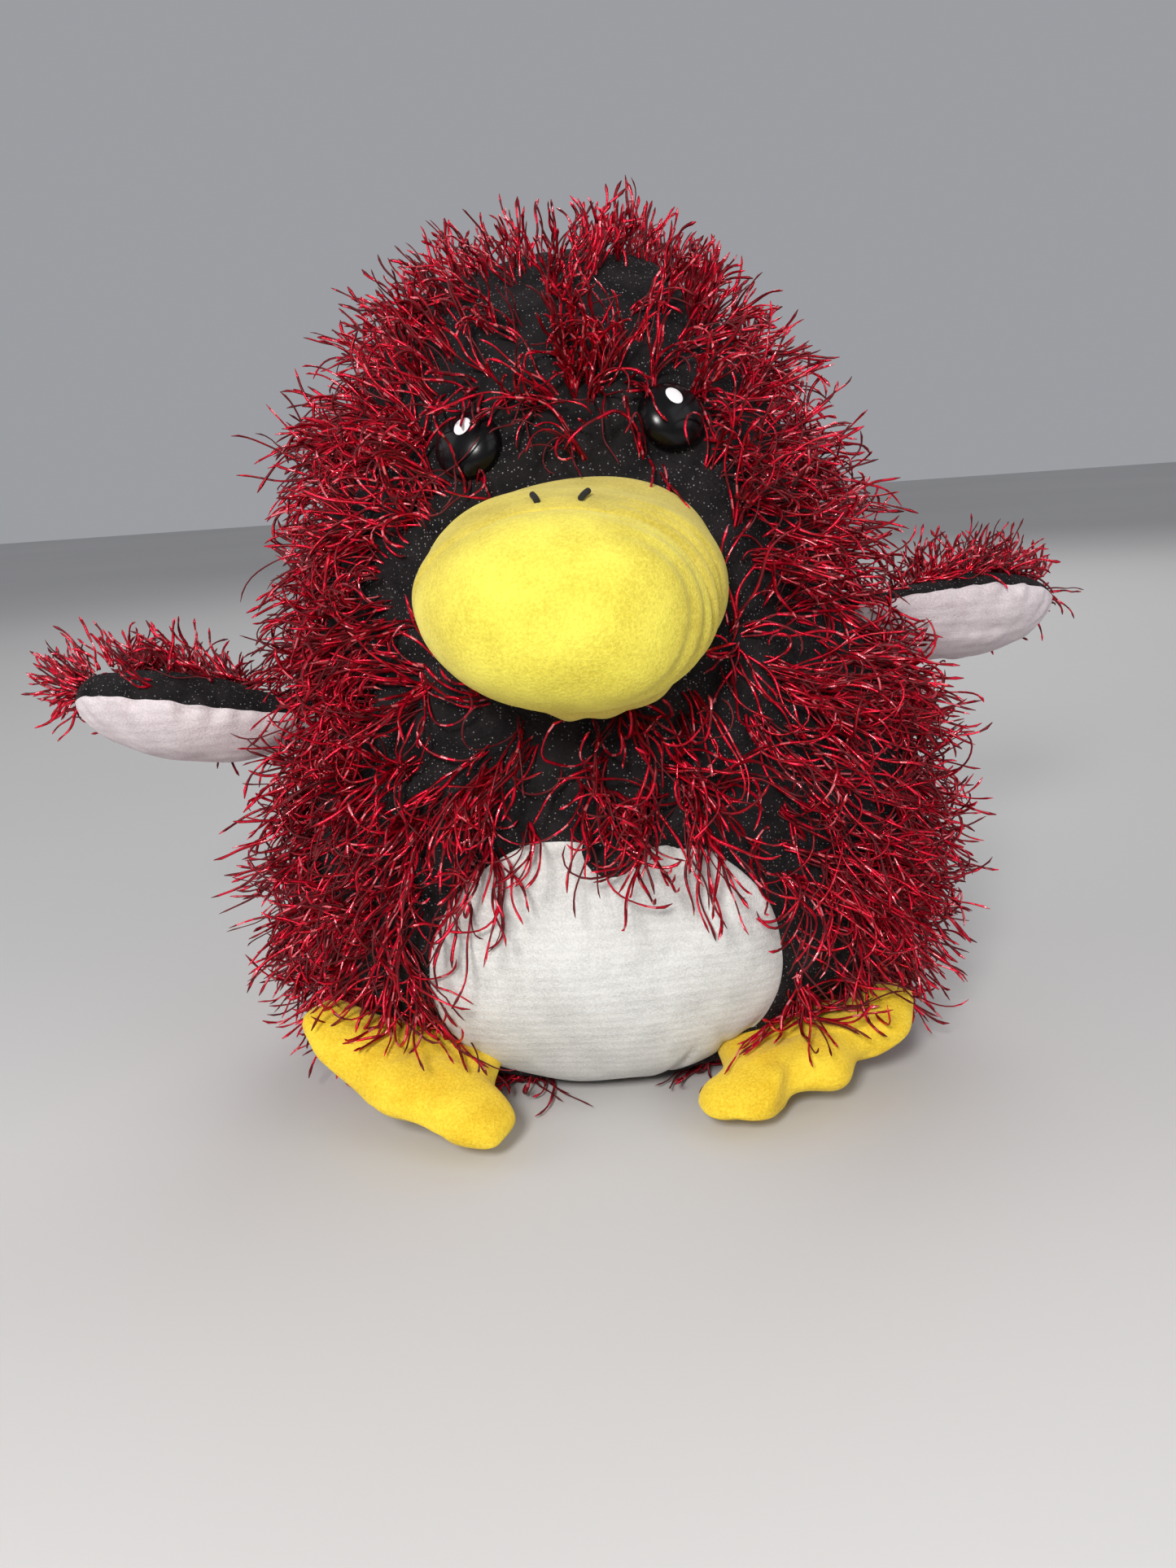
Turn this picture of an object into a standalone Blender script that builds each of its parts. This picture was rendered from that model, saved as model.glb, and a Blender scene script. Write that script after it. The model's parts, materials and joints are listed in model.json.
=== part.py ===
"""Seated plush penguin: sewn covers over stuffing, a stuffed beak, plastic eyes, hinged wings and feet.

Metres, +Z up. The penguin faces -Y and sits on z = 0, with the origin under the middle of its box.
Sizes below are written in millimetres and turned into metres by MM.
"""

import math

import bmesh
import bpy
from mathutils import Matrix, Vector

MM = 0.001
GAP = 0.3  # between pieces that touch on the real toy
WALL = 1.6  # thickness of the knitted covers and the fleece

# Body: an egg with an oval section. Two superellipse arcs meet at the widest height.
BODY_Y = 16.5
BODY_HALF_WIDTH = 75.0
BODY_DEPTH_SHARE = 0.82
WIDEST_Z = 60.0
BODY_TOP_Z = 184.0
LOW_REACH = 66.0  # the lower arc would close this far under the widest height; the floor cuts it first
BODY_SIDES = 32
BODY_LEVELS = 16

BELLY_CENTRE_Z = 34.0
BELLY_HALF_WIDTH = 38.0
BELLY_HALF_HEIGHT = 34.5
PELLET_TOP_Z = 36.0

# Beak: a blunt oval bulb, turned a little to the penguin's right and down.
BEAK_Z = 117.0
BEAK_HALF_WIDTH = 29.5
BEAK_HALF_HEIGHT = 19.5
BEAK_ROOT_Y = -17.5  # start of the bulb, inside the face
BEAK_LENGTH = 62.0
BEAK_TURN = math.radians(4)
BEAK_DROOP = math.radians(4)
BEAK_SEAM = 43.0  # distance from the bulb's start to the seam between gusset and front
BEAK_SIDES = 28
NOSTRIL_X = 5.0
NOSTRIL_START = 35.5  # along the bulb

EYE_X = 20.0
EYE_Z = 145.0
EYE_TILT = 1.5  # the penguin's left eye is sewn this much higher than the middle, its right as much lower
EYE_RADIUS = 6.9
EYE_RISE = 3.8
SHANK_RADIUS = 2.0
SHANK_LENGTH = 9.0
WASHER_RADIUS = 6.0

WING_LENGTH = 48.5
WING_TOP_RISE = 10.5
WING_UNDER_RISE = 9.5
# side: (sign of x, root height, sweep back, raise, twist that turns the lining forward, rise of the tip)
WINGS = {
    "left": (-1, 86.0, -16.0, 5.0, 26.0, 7.0),
    "right": (1, 97.0, 16.0, -2.0, 36.0, 0.0),
}

FOOT_HALF_WIDTH = 29.0
FOOT_ROOT_HALF_WIDTH = 14.0
FOOT_TOP_RISE = 7.0
FOOT_SOLE_RISE = 5.0
FOOT_DROOP = math.radians(8)
LOBE_SPACING = 19.5
# side: (sign of x, place round the body, splay from straight ahead, root height, lift of the outer edge)
FEET = {"left": (-1, 36.0, 33.0, 14.0, 15.0), "right": (1, 39.0, 30.0, 10.5, 7.0)}
WING_CLEARANCE = 3.0  # between a wing's seam line and the body, so that it can swing
FOOT_CLEARANCE = 6.0

FRINGE_RISE = 14.0


# Scene and material helpers ---------------------------------------------------------------


def clear_scene():
    for item in list(bpy.data.objects):
        bpy.data.objects.remove(item)


def material(name, colour, roughness, metallic=0.0):
    made = bpy.data.materials.new(name)
    made.use_nodes = True
    shader = made.node_tree.nodes["Principled BSDF"]
    shader.inputs["Base Color"].default_value = (*colour, 1.0)
    shader.inputs["Roughness"].default_value = roughness
    shader.inputs["Metallic"].default_value = metallic
    return made


def add_object(name, data, finish, parent=None):
    item = bpy.data.objects.new(name, data)
    bpy.context.scene.collection.objects.link(item)
    if finish:
        data.materials.append(finish)
    item.parent = parent
    return item


def mesh_from_loops(name, loops, wrap=False):
    """A closed mesh through loops of points in mm. A loop of one point is a pole; open ends are capped."""
    shape = bmesh.new()
    rows = [[shape.verts.new(Vector(point) * MM) for point in loop] for loop in loops]
    pairs = list(zip(rows, rows[1:]))
    if wrap:
        pairs.append((rows[-1], rows[0]))
    for first, second in pairs:
        count = max(len(first), len(second))
        for k in range(count):
            after = (k + 1) % count
            if len(first) == 1 and len(second) == 1:
                continue
            if len(first) == 1:
                shape.faces.new((first[0], second[k], second[after]))
            elif len(second) == 1:
                shape.faces.new((first[k], second[0], first[after]))
            else:
                shape.faces.new((first[k], second[k], second[after], first[after]))
    if not wrap:
        for row in (rows[0], rows[-1]):
            if len(row) > 1:
                shape.faces.new(row)
    bmesh.ops.recalc_face_normals(shape, faces=shape.faces)
    data = bpy.data.meshes.new(name)
    shape.to_mesh(data)
    shape.free()
    data.shade_smooth()
    data.set_sharp_from_angle(angle=math.radians(50))
    return data


def cutter(name, data):
    item = add_object(name, data, None)
    item.hide_render = True
    item.display_type = "WIRE"
    return item


def boolean(item, tool, operation="DIFFERENCE"):
    step = item.modifiers.new(operation.lower(), "BOOLEAN")
    step.operation = operation
    step.object = tool
    step.solver = "EXACT"


def box_data(name, low, high):
    """A box from its lowest to its highest corner, in mm."""
    shape = bmesh.new()
    bmesh.ops.create_cube(shape, size=1.0)
    size = [(high[k] - low[k]) * MM for k in range(3)]
    middle = [(high[k] + low[k]) / 2 * MM for k in range(3)]
    bmesh.ops.transform(
        shape, matrix=Matrix.LocRotScale(middle, None, size), verts=shape.verts
    )
    data = bpy.data.meshes.new(name)
    shape.to_mesh(data)
    shape.free()
    return data


def oval_loop(centre, half_width, half_depth, z, sides=BODY_SIDES):
    turn = [2 * math.pi * k / sides for k in range(sides)]
    return [
        (centre[0] + half_width * math.sin(a), centre[1] - half_depth * math.cos(a), z)
        for a in turn
    ]


# Body shape -------------------------------------------------------------------------------


def body_half_width(z):
    if z >= WIDEST_Z:
        share = (z - WIDEST_Z) / (BODY_TOP_Z - WIDEST_Z)
        return BODY_HALF_WIDTH * max(0.0, 1 - share**1.4) ** (1 / 2.5)
    share = (WIDEST_Z - z) / LOW_REACH
    return BODY_HALF_WIDTH * max(0.0, 1 - share**3.2) ** 0.5


def body_point(angle, z, out=0.0):
    """A point on the body at this height, at this angle round from the front, moved out along the normal."""

    def on_surface(a, height):
        width = body_half_width(height)
        depth = width * BODY_DEPTH_SHARE
        return Vector((width * math.sin(a), BODY_Y - depth * math.cos(a), height))

    here = on_surface(angle, z)
    round_ways = on_surface(angle + 0.02, z) - on_surface(angle - 0.02, z)
    upward = on_surface(angle, z + 0.4) - on_surface(angle, z - 0.4)
    return here + round_ways.cross(upward).normalized() * out


def front_angle(x, z):
    """Angle round the body where its front half reaches this x at this height."""
    return math.asin(x / body_half_width(z))


def egg_loops(inset):
    """Loops of the body drawn in by inset all over, with a pole at the top."""
    turns = [2 * math.pi * k / BODY_SIDES for k in range(BODY_SIDES)]
    heights = [
        BODY_TOP_Z * (1 - math.cos(math.pi * level / BODY_LEVELS)) / 2
        for level in range(BODY_LEVELS)
    ]
    loops = [[body_point(a, z, -inset) for a in turns] for z in heights]
    return [*loops, [(0, BODY_Y, BODY_TOP_Z - inset)]]


def build_body(black, white, fibre, pouch):
    """Two side covers, the belly and base panels, the fibre filling and the pellet bag."""
    outer = mesh_from_loops("outer_egg", egg_loops(0.0))
    inner = cutter("inner_egg_cutter", mesh_from_loops("inner_egg", egg_loops(WALL)))
    reach = 120.0

    def belly_prism(name, grow):
        loops = [
            [
                (
                    (BELLY_HALF_WIDTH + grow) * math.sin(a),
                    y,
                    BELLY_CENTRE_Z + (BELLY_HALF_HEIGHT + grow) * math.cos(a),
                )
                for a in [2 * math.pi * k / BODY_SIDES for k in range(BODY_SIDES)]
            ]
            for y in (-reach, BODY_Y - 5.0)
        ]
        return cutter(name, mesh_from_loops(name, loops))

    belly_keep = belly_prism("belly_keep_cutter", 0.0)
    belly_hole = belly_prism("belly_hole_cutter", GAP)
    base_width = body_half_width(0.0) - 2.0
    base_hole_loops = [
        oval_loop((0, BODY_Y), base_width + GAP, base_width * BODY_DEPTH_SHARE + GAP, z)
        for z in (-3.0, WALL + 2.0)
    ]
    base_hole = cutter(
        "base_hole_cutter", mesh_from_loops("base_hole", base_hole_loops)
    )
    for side, sign in (("left", -1), ("right", 1)):
        cover = add_object(f"cover_{side}", outer.copy(), black)
        near, far = sorted((sign * GAP / 2, sign * reach))
        half = cutter(
            f"half_cutter_{side}",
            box_data("half", (near, -reach, -5.0), (far, reach, 200.0)),
        )
        boolean(cover, inner)
        boolean(cover, half, "INTERSECT")
        boolean(cover, belly_hole)
        boolean(cover, base_hole)
        boolean(cover, eye_hole(side, sign))

    belly = add_object("belly_panel", outer.copy(), white)
    boolean(belly, inner)
    boolean(belly, belly_keep, "INTERSECT")
    above_floor = cutter(
        "belly_floor_cutter",
        box_data("floor", (-reach, -reach, -9.0), (reach, reach, WALL + GAP)),
    )
    boolean(belly, above_floor)

    base_loops = [
        oval_loop((0, BODY_Y), base_width, base_width * BODY_DEPTH_SHARE, z)
        for z in (0.0, WALL)
    ]
    add_object("base_panel", mesh_from_loops("base_panel", base_loops), black)

    stuffing = mesh_from_loops("stuffing", egg_loops(WALL + 2 * GAP))
    fill = add_object("body_fill", stuffing, fibre)
    above = cutter(
        "fill_cutter",
        box_data("above", (-reach, -reach, -9.0), (reach, reach, PELLET_TOP_Z + GAP)),
    )
    boolean(fill, above)
    for side, sign in (("left", -1), ("right", 1)):
        boolean(fill, eye_pocket(side, sign))
    bag = add_object("pellet_bag", stuffing.copy(), pouch)
    below = cutter(
        "bag_cutter",
        box_data("below", (-reach, -reach, PELLET_TOP_Z), (reach, reach, 200.0)),
    )
    boolean(bag, below)


# Eyes -------------------------------------------------------------------------------------


def eye_frame(sign):
    """Matrix whose +Z leaves the face at this eye's centre."""
    height = EYE_Z + sign * EYE_TILT
    angle = front_angle(sign * EYE_X, height)
    here = body_point(angle, height)
    outward = (body_point(angle, height, 1.0) - here).normalized()
    turned = outward.to_track_quat("Z", "Y").to_matrix().to_4x4()
    return Matrix.Translation(here * MM) @ turned


def turned_data(name, profile, sides=20):
    """A solid of revolution about Z from (radius, height) points in mm, closed at both ends on the axis."""
    loops = []
    for radius, height in profile:
        if radius == 0:
            loops.append([(0, 0, height)])
        else:
            loops.append(oval_loop((0, 0), radius, radius, height, sides))
    return mesh_from_loops(name, loops)


def eye_hole(side, sign):
    profile = [(0, -8.0), (SHANK_RADIUS + GAP, -8.0), (SHANK_RADIUS + GAP, 8.0), (0, 8.0)]
    tool = cutter(f"eye_hole_cutter_{side}", turned_data("eye_hole", profile))
    tool.matrix_world = eye_frame(sign)
    return tool


def eye_pocket(side, sign):
    radius, depth = WASHER_RADIUS + 1.0, SHANK_LENGTH + 1.0
    profile = [(0, -depth), (radius, -depth), (radius, 8.0), (0, 8.0)]
    tool = cutter(f"eye_pocket_cutter_{side}", turned_data("eye_pocket", profile))
    tool.matrix_world = eye_frame(sign)
    return tool


def build_eyes(gloss_black, spot_white, washer_white):
    """Moulded dome and shank in one, an inlaid white spot, and a lock washer behind the cover."""
    seat = 1.2  # the flat back of the dome clears the curved cover
    dome = [
        (EYE_RADIUS * math.sin(a), seat + EYE_RISE * math.cos(a))
        for a in [math.pi / 2 * k / 5 for k in range(1, 6)]
    ]
    profile = [(0, seat + EYE_RISE), *dome, (EYE_RADIUS - 0.6, seat - 0.7)]
    profile += [(SHANK_RADIUS, seat - 0.7), (SHANK_RADIUS, -SHANK_LENGTH), (0, -SHANK_LENGTH)]
    washer_top = -WALL - 1.6
    washer_low = washer_top - 1.2
    washer_hole = SHANK_RADIUS + 0.15
    for side, sign in (("left", -1), ("right", 1)):
        frame = eye_frame(sign)
        eye = add_object(f"eye_{side}", turned_data("eye", profile[::-1]), gloss_black)
        eye.matrix_world = frame

        spot_loops = [[(0, 0, EYE_RISE + seat + 0.5)]]
        for share, height in ((0.6, 0.45), (1.0, 0.2), (1.0, -2.5), (0.6, -2.6)):
            spot_loops.append(
                oval_loop((0, 0), 1.5 * share, 2.0 * share, EYE_RISE + seat + height, 14)
            )
        spot = add_object(
            f"eye_spot_{side}", mesh_from_loops("eye_spot", spot_loops), spot_white
        )
        lean = Matrix.Rotation(sign * math.radians(25), 4, "Z")
        spot.matrix_world = frame @ Matrix.Translation((0, 2.6 * MM, -0.5 * MM)) @ lean
        grown_eye = cutter(
            f"spot_back_cutter_{side}",
            turned_data("grown", [(r and r + 0.1, z + 0.1) for r, z in profile[::-1]]),
        )
        grown_eye.matrix_world = frame
        boolean(spot, grown_eye)

        rings = [
            oval_loop((0, 0), radius, radius, height, 20)
            for radius, height in (
                (WASHER_RADIUS, washer_top),
                (WASHER_RADIUS, washer_low),
                (washer_hole, washer_low),
                (washer_hole, washer_top),
            )
        ]
        washer = add_object(
            f"eye_washer_{side}",
            mesh_from_loops("washer", rings, wrap=True),
            washer_white,
        )
        washer.matrix_world = frame


# Beak -------------------------------------------------------------------------------------


def beak_frame():
    place = Matrix.Translation(Vector((0, BEAK_ROOT_Y, BEAK_Z)) * MM)
    turn = Matrix.Rotation(-BEAK_TURN, 4, "Z")
    droop = Matrix.Rotation(BEAK_DROOP, 4, "X")
    along_front = Matrix.Rotation(math.pi / 2, 4, "X")
    return place @ turn @ droop @ along_front


def beak_size(along):
    """Share of the full section at this distance along the bulb, pinched at the seam."""
    dome = max(0.0, 1 - (along / BEAK_LENGTH) ** 5) ** (1 / 2.2)
    pinch = 0.06 * math.exp(-(((along - BEAK_SEAM) / 2.5) ** 2))
    return dome - pinch


def beak_loop(along, inset):
    share = beak_size(along)
    width = max(BEAK_HALF_WIDTH * share - inset, 0.5)
    height = max(BEAK_HALF_HEIGHT * share - inset, 0.5)
    loop = []
    for k in range(BEAK_SIDES):
        angle = 2 * math.pi * k / BEAK_SIDES
        across, up = math.sin(angle), math.cos(angle)
        loop.append(
            (
                width * math.copysign(abs(across) ** 0.9, across),
                height * math.copysign(abs(up) ** 0.9, up),
                along,
            )
        )
    return loop


def beak_alongs(start, end, count):
    """Distances from start to end, closer together towards the end."""
    return [start + (end - start) * math.sin(math.pi / 2 * k / count) for k in range(count + 1)]


def build_beak(fleece, fibre, black_thread, grown_body):
    """Gusset ring, front panel and filling. The back is trimmed to the face."""
    frame = beak_frame()
    skin_tip = BEAK_LENGTH - 0.15
    seam = BEAK_SEAM
    fronts = beak_alongs(seam + GAP, skin_tip, 7)[:-1]
    insides = beak_alongs(seam + GAP, skin_tip - WALL, 6)[:-1]
    front_loops = [beak_loop(along, 0.0) for along in fronts]
    front_loops += [[(0, 0, skin_tip)], [(0, 0, skin_tip - WALL)]]
    front_loops += [beak_loop(along, WALL) for along in insides[::-1]]
    front = add_object(
        "beak_front", mesh_from_loops("beak_front", front_loops, wrap=True), fleece
    )
    front.matrix_world = frame

    steps = [seam * k / 5 for k in range(6)]
    ring_loops = [beak_loop(along, 0.0) for along in steps]
    ring_loops += [beak_loop(along, WALL) for along in steps[::-1]]
    gusset = add_object(
        "beak_gusset", mesh_from_loops("beak_gusset", ring_loops, wrap=True), fleece
    )
    gusset.matrix_world = frame
    boolean(gusset, grown_body)

    inset = WALL + GAP
    fill_loops = [beak_loop(along, inset) for along in (0.0, 20.0, 34.0, seam)]
    fill_loops += [beak_loop(along, inset) for along in insides[1:-1]]
    fill_loops.append([(0, 0, skin_tip - WALL - 2.0)])
    fill = add_object("beak_fill", mesh_from_loops("beak_fill", fill_loops), fibre)
    fill.matrix_world = frame
    boolean(fill, grown_body)

    for side, sign in (("left", -1), ("right", 1)):
        stitch = bpy.data.curves.new(f"nostril_{side}", "CURVE")
        stitch.dimensions = "3D"
        stitch.bevel_depth = 0.6 * MM
        stitch.bevel_resolution = 2
        stitch.use_fill_caps = True
        line = stitch.splines.new("POLY")
        alongs = [NOSTRIL_START + 1.5 * k for k in range(4)]
        line.points.add(len(alongs) - 1)
        for point, along in zip(line.points, alongs):
            top = BEAK_HALF_HEIGHT * beak_size(along) + 0.6 + GAP
            slope = sign * (NOSTRIL_X - 0.25 * (along - alongs[0]))
            point.co = (slope * MM, top * MM, along * MM, 1.0)
        made = add_object(f"nostril_stitch_{side}", stitch, black_thread)
        made.matrix_world = frame


# Padded limbs -----------------------------------------------------------------------------


def inset_outline(outline, distance):
    """The outline drawn in along the bisector at each point."""
    count = len(outline)
    drawn = []
    for k, (u, v) in enumerate(outline):
        before, after = outline[k - 1], outline[(k + 1) % count]
        run = Vector((after[0] - before[0], after[1] - before[1])).normalized()
        drawn.append((u - run.y * distance, v + run.x * distance))
    return drawn


def pillow_loops(outline, centre, rise, base, flatness):
    """Loops from the rim to a pole over the centre, rising by rise from height base."""
    loops = []
    for share in (1.0, 0.93, 0.78, 0.52):
        lift = base + rise * max(0.0, 1 - share**flatness) ** 0.5
        loops.append(
            [
                (centre[0] + (u - centre[0]) * share, centre[1] + (v - centre[1]) * share, lift)
                for u, v in outline
            ]
        )
    loops.append([(centre[0], centre[1], base + rise)])
    return loops


def bent(loops, length, curl):
    """The loops bent upwards, by curl at this length from the root."""
    return [[(u, v, w + curl * (u / length) ** 2) for u, v, w in loop] for loop in loops]


def build_padded_limb(names, outline, centre, rises, flatness, curl, length, finishes, hinge):
    """Top shell, under shell and filling, hung on a hinge empty whose local X leads away from the body."""
    top_rise, under_rise = rises
    inner = inset_outline(outline, WALL)
    core = inset_outline(outline, WALL + 4 * GAP)
    for name, sign, rise, finish in (
        (names[0], 1, top_rise, finishes[0]),
        (names[1], -1, under_rise, finishes[1]),
    ):
        base = sign * GAP / 2
        outside = pillow_loops(outline, centre, sign * rise, base, flatness)
        inside = pillow_loops(inner, centre, sign * (rise - WALL), base, flatness)
        loops = bent(outside + inside[::-1], length, curl)
        add_object(name, mesh_from_loops(name, loops, wrap=True), finish, hinge)
    above = pillow_loops(core, centre, top_rise - WALL - 4 * GAP, 0.0, flatness)
    below = pillow_loops(core, centre, GAP * 4 + WALL - under_rise, 0.0, flatness)
    loops = bent(above[::-1] + below[1:], length, curl)
    add_object(names[2], mesh_from_loops(names[2], loops), finishes[2], hinge)


def hinge_empty(name, place, outward, normal):
    """An empty at the hinge: X away from the body, Z out of the limb's top, Y along the hinge."""
    across = normal.cross(outward).normalized()
    upright = outward.cross(across).normalized()
    turned = Matrix((outward, across, upright)).transposed().to_4x4()
    empty = bpy.data.objects.new(name, None)
    bpy.context.scene.collection.objects.link(empty)
    empty.matrix_world = Matrix.Translation(place * MM) @ turned
    return empty


def wing_half_chord(u):
    swell = 11.5 + 4.5 * math.sin(min(u / 28.0, 1.0) * math.pi / 2)
    round_off = max(0.0, (u - 20.0) / (WING_LENGTH - 20.0))
    return swell * max(0.0, 1 - round_off**2.6) ** (1 / 2.2)


def wing_outline(steps=9):
    """Root edge, lower side, tip and upper side, anticlockwise in the wing's own plane."""
    spots = [WING_LENGTH * math.sin(math.pi / 2 * k / steps) for k in range(steps + 1)]
    lower = [(u, -wing_half_chord(u)) for u in spots[:-1]]
    upper = [(u, wing_half_chord(u)) for u in spots[-2::-1]]
    return [(0.0, 4.0), (0.0, -4.0), *lower, (WING_LENGTH, 0.0), *upper]


def build_wings(black, lining, fibre):
    for side, (sign, root_z, sweep, rise, twist, curl) in WINGS.items():
        sweep, rise, twist = (math.radians(value) for value in (sweep, rise, twist))
        outward = Vector(
            (
                sign * math.cos(rise) * math.cos(sweep),
                math.cos(rise) * math.sin(sweep),
                math.sin(rise),
            )
        )
        normal = Matrix.Rotation(sign * -twist, 3, outward) @ Vector((0, 0, 1))
        angle = sign * (math.pi / 2 + sweep * 0.6)
        place = body_point(angle, root_z, WING_CLEARANCE)
        hinge = hinge_empty(f"{side}_wing_hinge", place, outward, normal)
        names = [f"{side}_wing_{layer}" for layer in ("outer", "lining", "fill")]
        build_padded_limb(
            names,
            wing_outline(),
            (29.0, 0.0),
            (WING_TOP_RISE, WING_UNDER_RISE),
            2.6,
            curl,
            WING_LENGTH,
            (black, lining, fibre),
            hinge,
        )


def toe_edge(v):
    """How far the scalloped toe edge reaches at this place across the foot: three lobes."""
    arch = math.cos(v / FOOT_HALF_WIDTH * math.pi / 2)
    return 12.0 + 3.5 * arch + 2.8 * math.cos(v * 2 * math.pi / LOBE_SPACING)


def foot_outline(steps=20):
    half = FOOT_HALF_WIDTH
    root = FOOT_ROOT_HALF_WIDTH
    corner = toe_edge(half)
    toes = [
        (toe_edge(half * (2 * k / steps - 1)), half * (2 * k / steps - 1))
        for k in range(steps + 1)
    ]
    flank = [(corner * 0.25, half - 1.5), (corner * 0.06, half - 7.0), (0.0, root)]
    near = [(u, -v) for u, v in flank[::-1]]
    return [(0.0, 0.0), *near, *toes, *flank]


def build_feet(fleece, fibre):
    for side, (sign, around, splay, height, lift) in FEET.items():
        splay, lift = math.radians(splay), math.radians(lift)
        level = Vector((sign * math.sin(splay), -math.cos(splay), 0.0))
        outward = level * math.cos(FOOT_DROOP) - Vector((0, 0, math.sin(FOOT_DROOP)))
        normal = Matrix.Rotation(sign * lift, 3, outward) @ Vector((0, 0, 1))
        surface = body_point(sign * math.radians(around), height)
        hinge = hinge_empty(
            f"{side}_foot_hinge", surface + level * FOOT_CLEARANCE, outward, normal
        )
        names = [f"{side}_foot_{layer}" for layer in ("upper", "sole", "fill")]
        build_padded_limb(
            names,
            foot_outline(),
            (6.0, 0.0),
            (FOOT_TOP_RISE, FOOT_SOLE_RISE),
            3.0,
            0.0,
            toe_edge(0.0),
            (fleece, fleece, fibre),
            hinge,
        )


# Trim -------------------------------------------------------------------------------------


def build_crown_fringe(yarn, grown_body):
    """Outer shape of the yarn that stands on the crown: a low cap drawn up into locks."""
    sides = 24
    levels = (168.0, 173.0, 177.5, 181.0, 183.4)
    heights = (1.2, 0.75, 1.0, 0.8, 1.0)

    def loop(z, lift_odd, lift_even):
        return [
            body_point(2 * math.pi * k / sides, z, lift_odd if k % 2 else lift_even)
            for k in range(sides)
        ]

    under = [loop(z, -0.5, -0.5) for z in levels]
    over = [
        loop(z, FRINGE_RISE * 0.45 * share, FRINGE_RISE * share)
        for z, share in zip(levels[1:], heights[1:])
    ]
    over.insert(0, loop(levels[0], 1.2, 1.2))
    under.append([(0, BODY_Y, BODY_TOP_Z - 0.5)])
    over.append([(0, BODY_Y, BODY_TOP_Z + FRINGE_RISE * 0.8)])
    crown = add_object(
        "crown_fringe",
        mesh_from_loops("crown_fringe", under + over[::-1], wrap=True),
        yarn,
    )
    boolean(crown, grown_body)


def build_closing_thread(black_thread):
    """The hand-sewn zigzag that closes the back seam after stuffing."""
    thread = bpy.data.curves.new("closing_thread", "CURVE")
    thread.dimensions = "3D"
    thread.bevel_depth = 0.45 * MM
    thread.bevel_resolution = 2
    thread.use_fill_caps = True
    turns = 15
    line = thread.splines.new("POLY")
    line.points.add(turns - 1)
    for k, point in enumerate(line.points):
        angle = math.pi + (0.022 if k % 2 else -0.022)
        place = body_point(angle, 70.0 + 2.6 * k, 0.45 + 2 * GAP) * MM
        point.co = (*place, 1.0)
    add_object("closing_thread", thread, black_thread)


def main():
    clear_scene()
    black = material("black_knit", (0.012, 0.011, 0.012), 0.9)
    white = material("white_velour", (0.83, 0.83, 0.80), 0.85)
    lining = material("pale_velour", (0.80, 0.72, 0.73), 0.85)
    fleece = material("yellow_fleece", (0.93, 0.70, 0.10), 0.9)
    beak_fleece = material("beak_fleece", (0.90, 0.76, 0.16), 0.85)
    fibre = material("polyester_fibre", (0.88, 0.88, 0.86), 0.95)
    pouch = material("pellet_bag", (0.75, 0.74, 0.70), 0.9)
    gloss_black = material("eye_plastic", (0.004, 0.004, 0.005), 0.08)
    spot_white = material("eye_spot", (0.85, 0.84, 0.84), 0.35)
    washer_white = material("washer_plastic", (0.80, 0.80, 0.78), 0.5)
    yarn = material("red_yarn", (0.55, 0.01, 0.035), 0.35, 0.4)
    black_thread = material("black_thread", (0.02, 0.02, 0.02), 0.6)

    grown_body = cutter("grown_body_cutter", mesh_from_loops("grown", egg_loops(-2 * GAP)))
    build_body(black, white, fibre, pouch)
    build_eyes(gloss_black, spot_white, washer_white)
    build_beak(beak_fleece, fibre, black_thread, grown_body)
    build_wings(black, lining, fibre)
    build_feet(fleece, fibre)
    build_crown_fringe(yarn, grown_body)
    build_closing_thread(black_thread)


main()
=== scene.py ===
"""Looks for the plush penguin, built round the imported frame.

Lengths in the modelling code are in millimetres.
"""

import json
import math

import bpy
import numpy as np
from mathutils import Matrix, Vector


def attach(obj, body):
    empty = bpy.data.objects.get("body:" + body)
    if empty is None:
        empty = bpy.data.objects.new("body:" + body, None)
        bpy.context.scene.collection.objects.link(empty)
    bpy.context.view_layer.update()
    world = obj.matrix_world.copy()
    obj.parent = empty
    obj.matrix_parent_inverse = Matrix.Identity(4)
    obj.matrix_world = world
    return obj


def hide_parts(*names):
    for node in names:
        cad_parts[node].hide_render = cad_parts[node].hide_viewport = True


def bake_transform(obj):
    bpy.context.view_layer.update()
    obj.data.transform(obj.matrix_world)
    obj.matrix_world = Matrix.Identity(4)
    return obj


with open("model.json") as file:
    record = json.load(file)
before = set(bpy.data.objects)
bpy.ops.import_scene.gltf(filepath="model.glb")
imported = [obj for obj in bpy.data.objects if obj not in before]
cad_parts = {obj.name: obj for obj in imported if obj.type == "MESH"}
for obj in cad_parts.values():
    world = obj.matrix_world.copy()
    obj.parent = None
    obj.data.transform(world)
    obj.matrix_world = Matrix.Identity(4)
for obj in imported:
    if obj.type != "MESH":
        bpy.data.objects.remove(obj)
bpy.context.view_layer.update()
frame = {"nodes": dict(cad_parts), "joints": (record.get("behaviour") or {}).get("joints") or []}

MM = 0.001
TAU = 2 * math.pi
rng = np.random.default_rng(7)

# The cloth simulation that stuffs the beak and the limbs.
SIM_SCALE = 10.0
SIM_FRAMES = 16
SIM_CAP = 3.0
BEAK_PRESSURE = 6.0
LIMB_PRESSURE = 9.0
SEAM_HOLD = 0.7
STUFFED_FROM = (1.0, 1.0, 0.78)  # how flat a limb is before its filling puffs it out

# The body's egg, as in the CAD.
BODY_Y = 16.5
HALF_WIDTH = 75.0
DEPTH = 0.82
WIDEST_Z = 60.0
TOP_Z = 184.0
LOW_REACH = 66.0

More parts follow.
